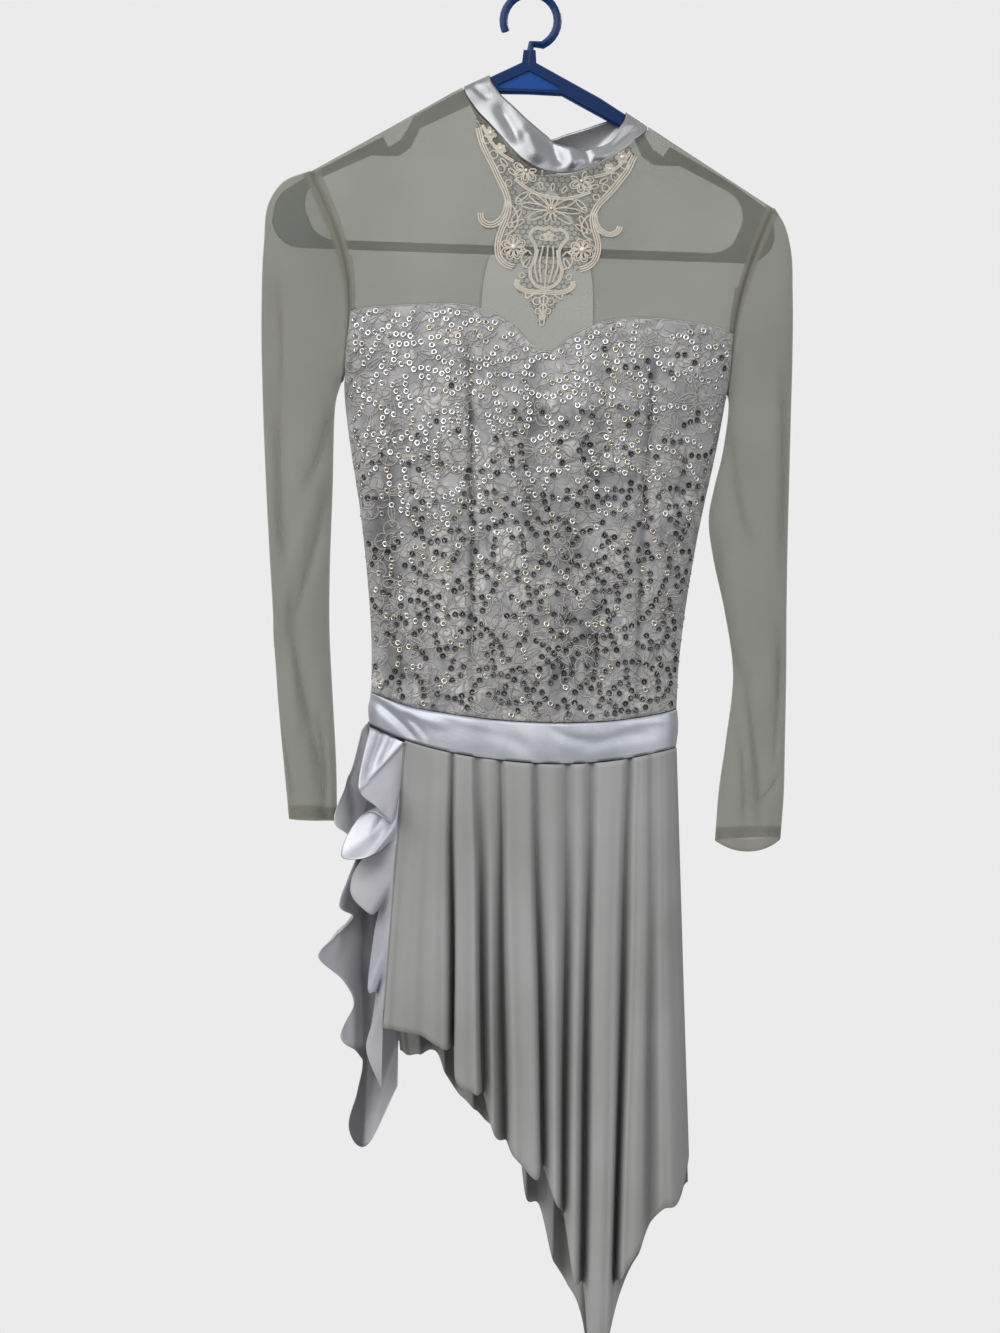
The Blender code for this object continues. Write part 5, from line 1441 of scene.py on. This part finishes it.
def lace_cords():
    """The right half of the lace: its bands of cord, its loops and the veins of its petals."""
    lines, loops, veins = [], [], []
    for count, apart, route in LACE_BANDS:
        long = sum(math.dist(a, b) for a, b in zip(route, route[1:]))
        line = smooth_line(route, max(6, int(long / 1.1)))
        along = np.gradient(line, axis=0)
        along /= np.linalg.norm(along, axis=1)[:, None]
        off = np.stack([-along[:, 1], along[:, 0]], axis=-1)
        lines += [line + off * (number - (count - 1) / 2) * apart for number in range(count)]
    for across, up, degrees, long, wide in LACE_PETALS:
        turn = math.radians(degrees)
        loops.append(petal_loop(across, up, turn, long, wide))
        tip = np.array([across + long * 0.8 * math.cos(turn), up + long * 0.8 * math.sin(turn)])
        veins.append(np.linspace((across, up), tip, 5))
    for across, up, radius in LACE_RINGS:
        t = np.linspace(0.0, 2 * math.pi, 12, endpoint=False)
        loops.append(np.stack([across + radius * np.cos(t), up + radius * np.sin(t)], axis=-1))
    for across, up, radius, count in LACE_FLOWERS:
        for petal in range(count):
            turn = 2 * math.pi * petal / count + 0.3
            start = (across + radius * 0.22 * math.cos(turn), up + radius * 0.22 * math.sin(turn))
            loops.append(petal_loop(*start, turn, radius * 0.8, radius * 0.62))
            loops.append(petal_loop(*start, turn, radius * 0.58, radius * 0.3))
    return lines, loops, veins


def on_both_sides(lines):
    """Lines of the lace's right half and their mirror images, placed. A middle line stays one."""
    placed = []
    for line in lines:
        in_middle = np.abs(line[:, 0]).max() < 0.01
        for side in (1,) if in_middle else (1, -1):
            placed.append(lace_place(side * line[:, 0], line[:, 1]))
    return placed


def lace_net():
    """The threads of a six-sided net inside the lace's outline and outside its gaps."""
    outline = lace_outline()
    gaps = [(lace_place(side * a, u), r) for a, u, r, _ in LACE_GAPS[1:] for side in (1, -1)]
    threads = []
    for row in range(-2, 60):
        for place in range(-24, 24):
            centre = (
                LACE_X + (place + 0.5 * (row % 2)) * LACE_NET_PITCH * 1.732,
                LACE_Z + 45.0 - row * LACE_NET_PITCH * 1.5,
            )
            corners = {
                turn: (
                    centre[0] + LACE_NET_PITCH * math.cos(math.radians(turn)),
                    centre[1] + LACE_NET_PITCH * math.sin(math.radians(turn)),
                )
                for turn in (-30, 30, 90, 150)
            }
            for start, end in ((90, 30), (90, 150), (30, -30)):
                ends = np.array([corners[start], corners[end]])
                middle = ends.mean(axis=0)
                clear = all(math.dist(middle, gap) >= radius + 0.6 for gap, radius in gaps)
                if clear and inside_outline(*middle, outline):
                    threads.append(ends)
    return threads


def lace_necklace(tree, use):
    """The corded lace under the collar: bands, flowers and sprays of cord on a ground of fine net."""
    lines, loops, veins = (on_both_sides(group) for group in lace_cords())
    raised = [s for line in lines for s in laid(tree, line, LACE_BAND_OUT)]
    rings = [s for line in loops for s in laid(tree, line, LACE_LOOP_OUT) if len(s) == len(line)]
    threads = [s for line in veins + lace_net() for s in laid(tree, line, LACE_THREAD_OUT)]
    parts = [
        tube(line, LACE_BAND_CORD + LACE_BAND_TWIST * (np.arange(len(line)) % 2), 6) for line in raised
    ]
    parts += [tube(line, LACE_LOOP_CORD, 5, True) for line in rings]
    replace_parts(tubes("corded_lace", parts, use["cream"], "lace"), "lace_necklace")
    # A real net ground, coloured darker than the cords as painted shade between them
    net = [tube(line, LACE_THREAD, 4) for line in threads]
    tubes("lace_ground", net, use["lace ground"], "lace")
    beads = []
    for across, up, radius in LACE_PEARLS:
        for side in (1, -1) if across else (1,):
            x, z = lace_place(side * across, up)
            at, _ = lie_on(tree, x, z, radius + 0.9)
            if at is not None:
                beads.append((at, radius))
    small_pearls("lace_pearls", beads, use["pearl"])


def small_pearls(name, beads, finish):
    """Round beads, modelled once and copied."""
    bpy.ops.object.select_all(action="DESELECT")
    bpy.ops.mesh.primitive_uv_sphere_add(segments=14, ring_count=9, radius=1.0)
    bead = bpy.context.object
    shape = np.array([v.co for v in bead.data.vertices])
    shape_faces = [list(p.vertices) for p in bead.data.polygons]
    bpy.data.objects.remove(bead)
    return tubes(name, [(at + shape * radius, shape_faces) for at, radius in beads], finish, "pearl")


def stage_and_light():
    bpy.ops.object.select_all(action="DESELECT")
    place = {"radius": FLOOR_RADIUS, "location": (0.0, 0.0, FLOOR_Z)}
    bpy.ops.mesh.primitive_circle_add(vertices=96, fill_type="NGON", **place)
    floor = bpy.context.object
    floor.name = "floor"
    made, tree, shader = blank_finish("pale floor", 0.9)
    shader.inputs["Base Color"].default_value = FLOOR_GREY
    floor.data.materials.append(made)

    world = bpy.data.worlds.new("studio")
    bpy.context.scene.world = world
    world.use_nodes = True
    tree = world.node_tree
    tree.nodes.clear()
    way = node(tree, "ShaderNodeTexCoord").outputs["Generated"]
    parts = node(tree, "ShaderNodeSeparateXYZ", {0: way})
    up = maths(tree, "ADD", parts.outputs["Z"], maths(tree, "MULTIPLY", parts.outputs["X"], SKY_TILT))
    lit = mapped(tree, up, -0.3, 0.42, 0.09, 0.85)
    light = node(tree, "ShaderNodeBackground", {"Color": (1.0, 0.99, 0.975, 1.0), "Strength": lit})
    pale = node(tree, "ShaderNodeBackground", {"Color": (0.83, 0.83, 0.83, 1.0), "Strength": 1.0})
    path = node(tree, "ShaderNodeLightPath").outputs["Is Camera Ray"]
    mix = node(tree, "ShaderNodeMixShader", {0: path, 1: light.outputs[0], 2: pale.outputs[0]})
    out = node(tree, "ShaderNodeOutputWorld")
    tree.links.new(mix.outputs[0], out.inputs["Surface"])

    for name, at, size, power, colour in (
        ("key", (-1.5, -1.9, 1.0), 2.6, 60.0, (1.0, 0.985, 0.96)),
        ("fill", (2.0, -1.9, 0.1), 1.8, 17.0, (0.95, 0.97, 1.0)),
        ("back", (0.6, 1.8, 0.8), 1.4, 20.0, (1.0, 1.0, 1.0)),
    ):
        lamp = bpy.data.lights.new(name, "AREA")
        lamp.size = size
        lamp.energy = power
        lamp.color = colour
        light_object = bpy.data.objects.new(name, lamp)
        light_object.location = at
        aim = Vector(LAMPS_AIM_AT) - Vector(at)
        light_object.rotation_euler = aim.to_track_quat("-Z", "Y").to_euler()
        bpy.context.scene.collection.objects.link(light_object)
    bpy.context.scene.view_settings.view_transform = "Standard"


def add_camera():
    data = bpy.data.cameras.new("camera")
    data.lens = CAMERA_LENS
    data.sensor_width = 36.0
    camera = bpy.data.objects.new("camera", data)
    right = Vector((math.cos(CAMERA_ROLL), 0.0, math.sin(CAMERA_ROLL)))
    up = Vector((-math.sin(CAMERA_ROLL), 0.0, math.cos(CAMERA_ROLL)))
    turn = Matrix((right, up, Vector((0.0, -1.0, 0.0)))).transposed().to_4x4()
    camera.matrix_world = Matrix.Translation(CAMERA_AT) @ turn
    bpy.context.scene.collection.objects.link(camera)
    bpy.context.scene.camera = camera


def finishes():
    """The materials of the cloth and its trimmings, by name."""
    return {
        "net": net_finish("sheer net", 0.35, 0.43),
        "front net": net_finish("sheer net in front", 0.43, 0.52),
        "back net": net_finish("sheer net behind", 0.15, 0.23),
        "knit": knit_finish(),
        "satin": satin_finish("silver satin", (0.40, 0.42, 0.475), (0.54, 0.55, 0.62), 0.42, 0.5),
        # The side ruffle's satin: painted lighter and less metallic, to lift it where it lies in shade
        "shaded satin": satin_finish("shaded satin", (0.60, 0.61, 0.66), (0.80, 0.81, 0.86), 0.42, 0.15),
        "collar satin": satin_finish("collar satin", (0.22, 0.225, 0.24), (0.33, 0.335, 0.35), 0.30, 0.85),
        "reverse": satin_finish("satin reverse", (0.33, 0.33, 0.365), (0.40, 0.40, 0.435), 0.6, 0.0),
        "rose lace": sequin_cloth_finish(),
        "lining": plain_finish("lining", (0.36, 0.36, 0.37), 0.55, sheen=0.3, grain=0.0002),
        "lace cord": plain_finish("lace cord", (0.36, 0.36, 0.355), 0.75, sheen=0.3, grain=0.0002),
        "binding": plain_finish("edge binding", (0.27, 0.27, 0.255), 0.8),
        "foil": foil_finish(),
        "cream": plain_finish("cream cord", (0.64, 0.59, 0.505), 0.8, sheen=0.3, grain=0.0003, pitch=1500.0),
        # The lace ground is darker than the cords: painted shade between them
        "lace ground": plain_finish("lace ground", (0.21, 0.19, 0.155), 0.85),
        "pearl": plain_finish("pearl", (0.84, 0.80, 0.74), 0.2),
        "net seam": plain_finish("net seam", (0.17, 0.172, 0.145), 0.8),
        "skirt seam": plain_finish("skirt seam", (0.24, 0.245, 0.24), 0.8),
    }


def panel(name, node_name, points, finish, slot, rests_on="hanger", held="hung", **look):
    """A sheet of cloth that stands for one solid of the frame."""
    piece = cloth(name, points, finish, slot, **look)
    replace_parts(piece, node_name)
    as_sheet(points)


def yokes(use):
    """The sheer front and the two halves of the back. Returns a search tree over the front."""
    front = creased(finer(front_yoke_points(), *YOKE_GRID), YOKE_CREASES)
    values = {"layers": edge_layers(front, sides=5.0)}
    panel("front_yoke", "yoke_front", front, use["front net"], "sheer_mesh", values=values)
    for side, which in ((-1, "left"), (1, "right")):
        half = finer(back_yoke_points(side), *BACK_YOKE_GRID)
        look = {"front": False, "values": {"layers": edge_layers(half, sides=1.5)}}
        panel(f"back_yoke_{which}", f"yoke_back_{which}", half, use["back net"], "sheer_mesh", **look)
    return surface_of(front)


def sleeves(use):
    for side, which, creases in ((-1, "left", SLEEVE_CREASES_LEFT), (1, "right", SLEEVE_CREASES_RIGHT)):
        arm = creased(finer(sleeve_points(side), *SLEEVE_GRID, ring=True), creases, ring=True)
        arm[:, -1] = arm[:, 0]
        layers = np.maximum(crease_layers(arm, creases), edge_layers(arm, top=5.0, bottom=9.0))
        look = {"ring": True, "values": {"layers": layers}}
        panel(f"{which}_sleeve", f"sleeve_{which}", arm, use["net"], "sheer_mesh", **look)


def bodice(which, use):
    """One half of the sequinned bodice, with its corded roses, sequins and upper binding."""
    front = which == "front"
    sign = -1 if front else 1
    seed, count = (5, SEQUIN_COUNT_FRONT) if front else (11, SEQUIN_COUNT_BACK)
    roses = rose_layout(seed)
    body = finer(bodice_points(which), *BODICE_GRID)
    if front:
        body = creased(body, BODICE_CREASES)
    share = lace_share(body[..., 0], body[..., 2], roses)
    body = body + np.array([0.0, sign * LACE_RELIEF, 0.0]) * share[..., None]
    # Painted shade in the front's creases, carried by the fold value
    fold = np.clip(-crease_height(body[..., 0], body[..., 2], BODICE_CREASES) / 3.0, 0.0, 1.0) * front
    look = {"front": front, "inside": use["lining"], "values": {"lace": share, "fold": fold}}
    panel(f"bodice_{which}_cloth", f"bodice_{which}", body, use["rose lace"], "sequin_lace", **look)
    tree = surface_of(body)
    lines = []
    for x, z, radius, turn, leaves in roses:
        flat = rose_lines(radius, turn)
        for leaf in leaves:
            start = np.array([math.cos(leaf), math.sin(leaf)]) * radius * LEAF_LONG
            flat += [line + start for line in leaf_lines(radius * LEAF_LONG, radius * LEAF_WIDE, leaf)]
        for line in flat:
            lines += laid(tree, line + (x, z), ROSE_CORD_OUT, front)
    cords(f"bodice_{which}_cords", lines, ROSE_CORD, use["lace cord"], "sequin_lace", sides=4)
    sequins(f"bodice_{which}_sequins", seed, count, tree, front, use["foil"])
    edge = [body[0, ::2]]
    cords(f"bodice_{which}_binding", edge, BINDING_CORD, use["binding"], "sequin_lace", sides=6)


def waistband(which, use):
    front = which == "front"
    band = creased(finer(waistband_points(which), *BAND_GRID), BAND_CREASES, front=front)
    panel(f"waistband_{which}_satin", f"waistband_{which}", band, use["satin"], "satin", front=front)


def skirt(which, use):
    """One half of the gathered skirt. Returns its points."""
    front = which == "front"
    half = skirt_points(which)
    # Painted shade between the folds, carried by the fold value
    look = {"front": front, "values": {"fold": between_folds(half, front)}}
    band = f"waistband_{which}_satin"
    panel(f"skirt_{which}_mesh", f"skirt_{which}", half, use["knit"], "skirt_mesh", band, "gathered", **look)
    return half


def ruffle(which, half, use):
    """The strip of satin on one half of the skirt, its matt back in front by turns. Returns its sewn edge."""
    front = which == "front"
    table, creases = (RUFFLE_FRONT, FLAP_CREASES) if front else (RUFFLE_SIDE, RUFFLE_CREASES)
    name = "ruffle_front" if front else "ruffle_side"
    strip = finer(ruffle_points(table, half), *RUFFLE_GRID)
    place = np.linspace(0.0, len(table) - 2.0, strip.shape[1]) * np.ones((len(strip), 1))
    matte = np.zeros(place.shape, bool)
    for start, end in MATTE_FRONT if front else MATTE_SIDE:
        matte |= (place > start) & (place < end)
    if front:
        over = strip[..., 2] - (FLAP_Z + FLAP_SLOPE * (strip[..., 0] - FLAP_X))
        strip[..., 1] -= FLAP_HIGH * ease(over / 1.6) * ease((2.7 - place) * 3)
        matte |= (place <= MATTE_FRONT[0][0]) & (over < 0.8)
    sewn = strip[0, ::3]
    strip = creased(strip, creases)
    x, z = strip[..., 0], strip[..., 2]
    # Painted shade: the fold value darkens the creases and, on the side ruffle, its shaded lower corner
    fold = np.clip(-crease_height(x, z, creases) / 4.0, 0.0, 0.6)
    if not front:
        fold = np.maximum(fold, ease((RUFFLE_PAINTED_SHADE_Z - z) / 8.0) * ease((RUFFLE_PAINTED_SHADE_X - x) / 3.0))
    look = {"front": False, "inside": use["reverse"], "matte": matte[:-1, :-1], "values": {"fold": fold}}
    # The side ruffle takes the satin painted lighter for its shade
    finish = use["satin"] if front else use["shaded satin"]
    panel(f"{name}_satin", name, strip, finish, "satin", f"skirt_{which}_mesh", **look)
    return sewn


def dress():
    use = finishes()
    yoke_tree = yokes(use)
    sleeves(use)
    halves, sewn = [], []
    for which in ("front", "back"):
        bodice(which, use)
        waistband(which, use)
        halves.append(skirt(which, use))
        sewn.append(ruffle(which, halves[-1], use))
    strip = creased(finer(collar_points(), *COLLAR_GRID), COLLAR_CREASES)
    panel("neck_band", "collar", strip, use["collar satin"], "satin")
    lace_necklace(yoke_tree, use)
    seam_cords(use["net seam"])
    side_seams(halves, sewn, use["skirt seam"])
    for name, finish in (("hanger", plastic_finish()), ("collar_button", use["pearl"])):
        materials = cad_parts[name].data.materials
        materials.clear()
        materials.append(finish)


stage_and_light()
add_camera()
dress()
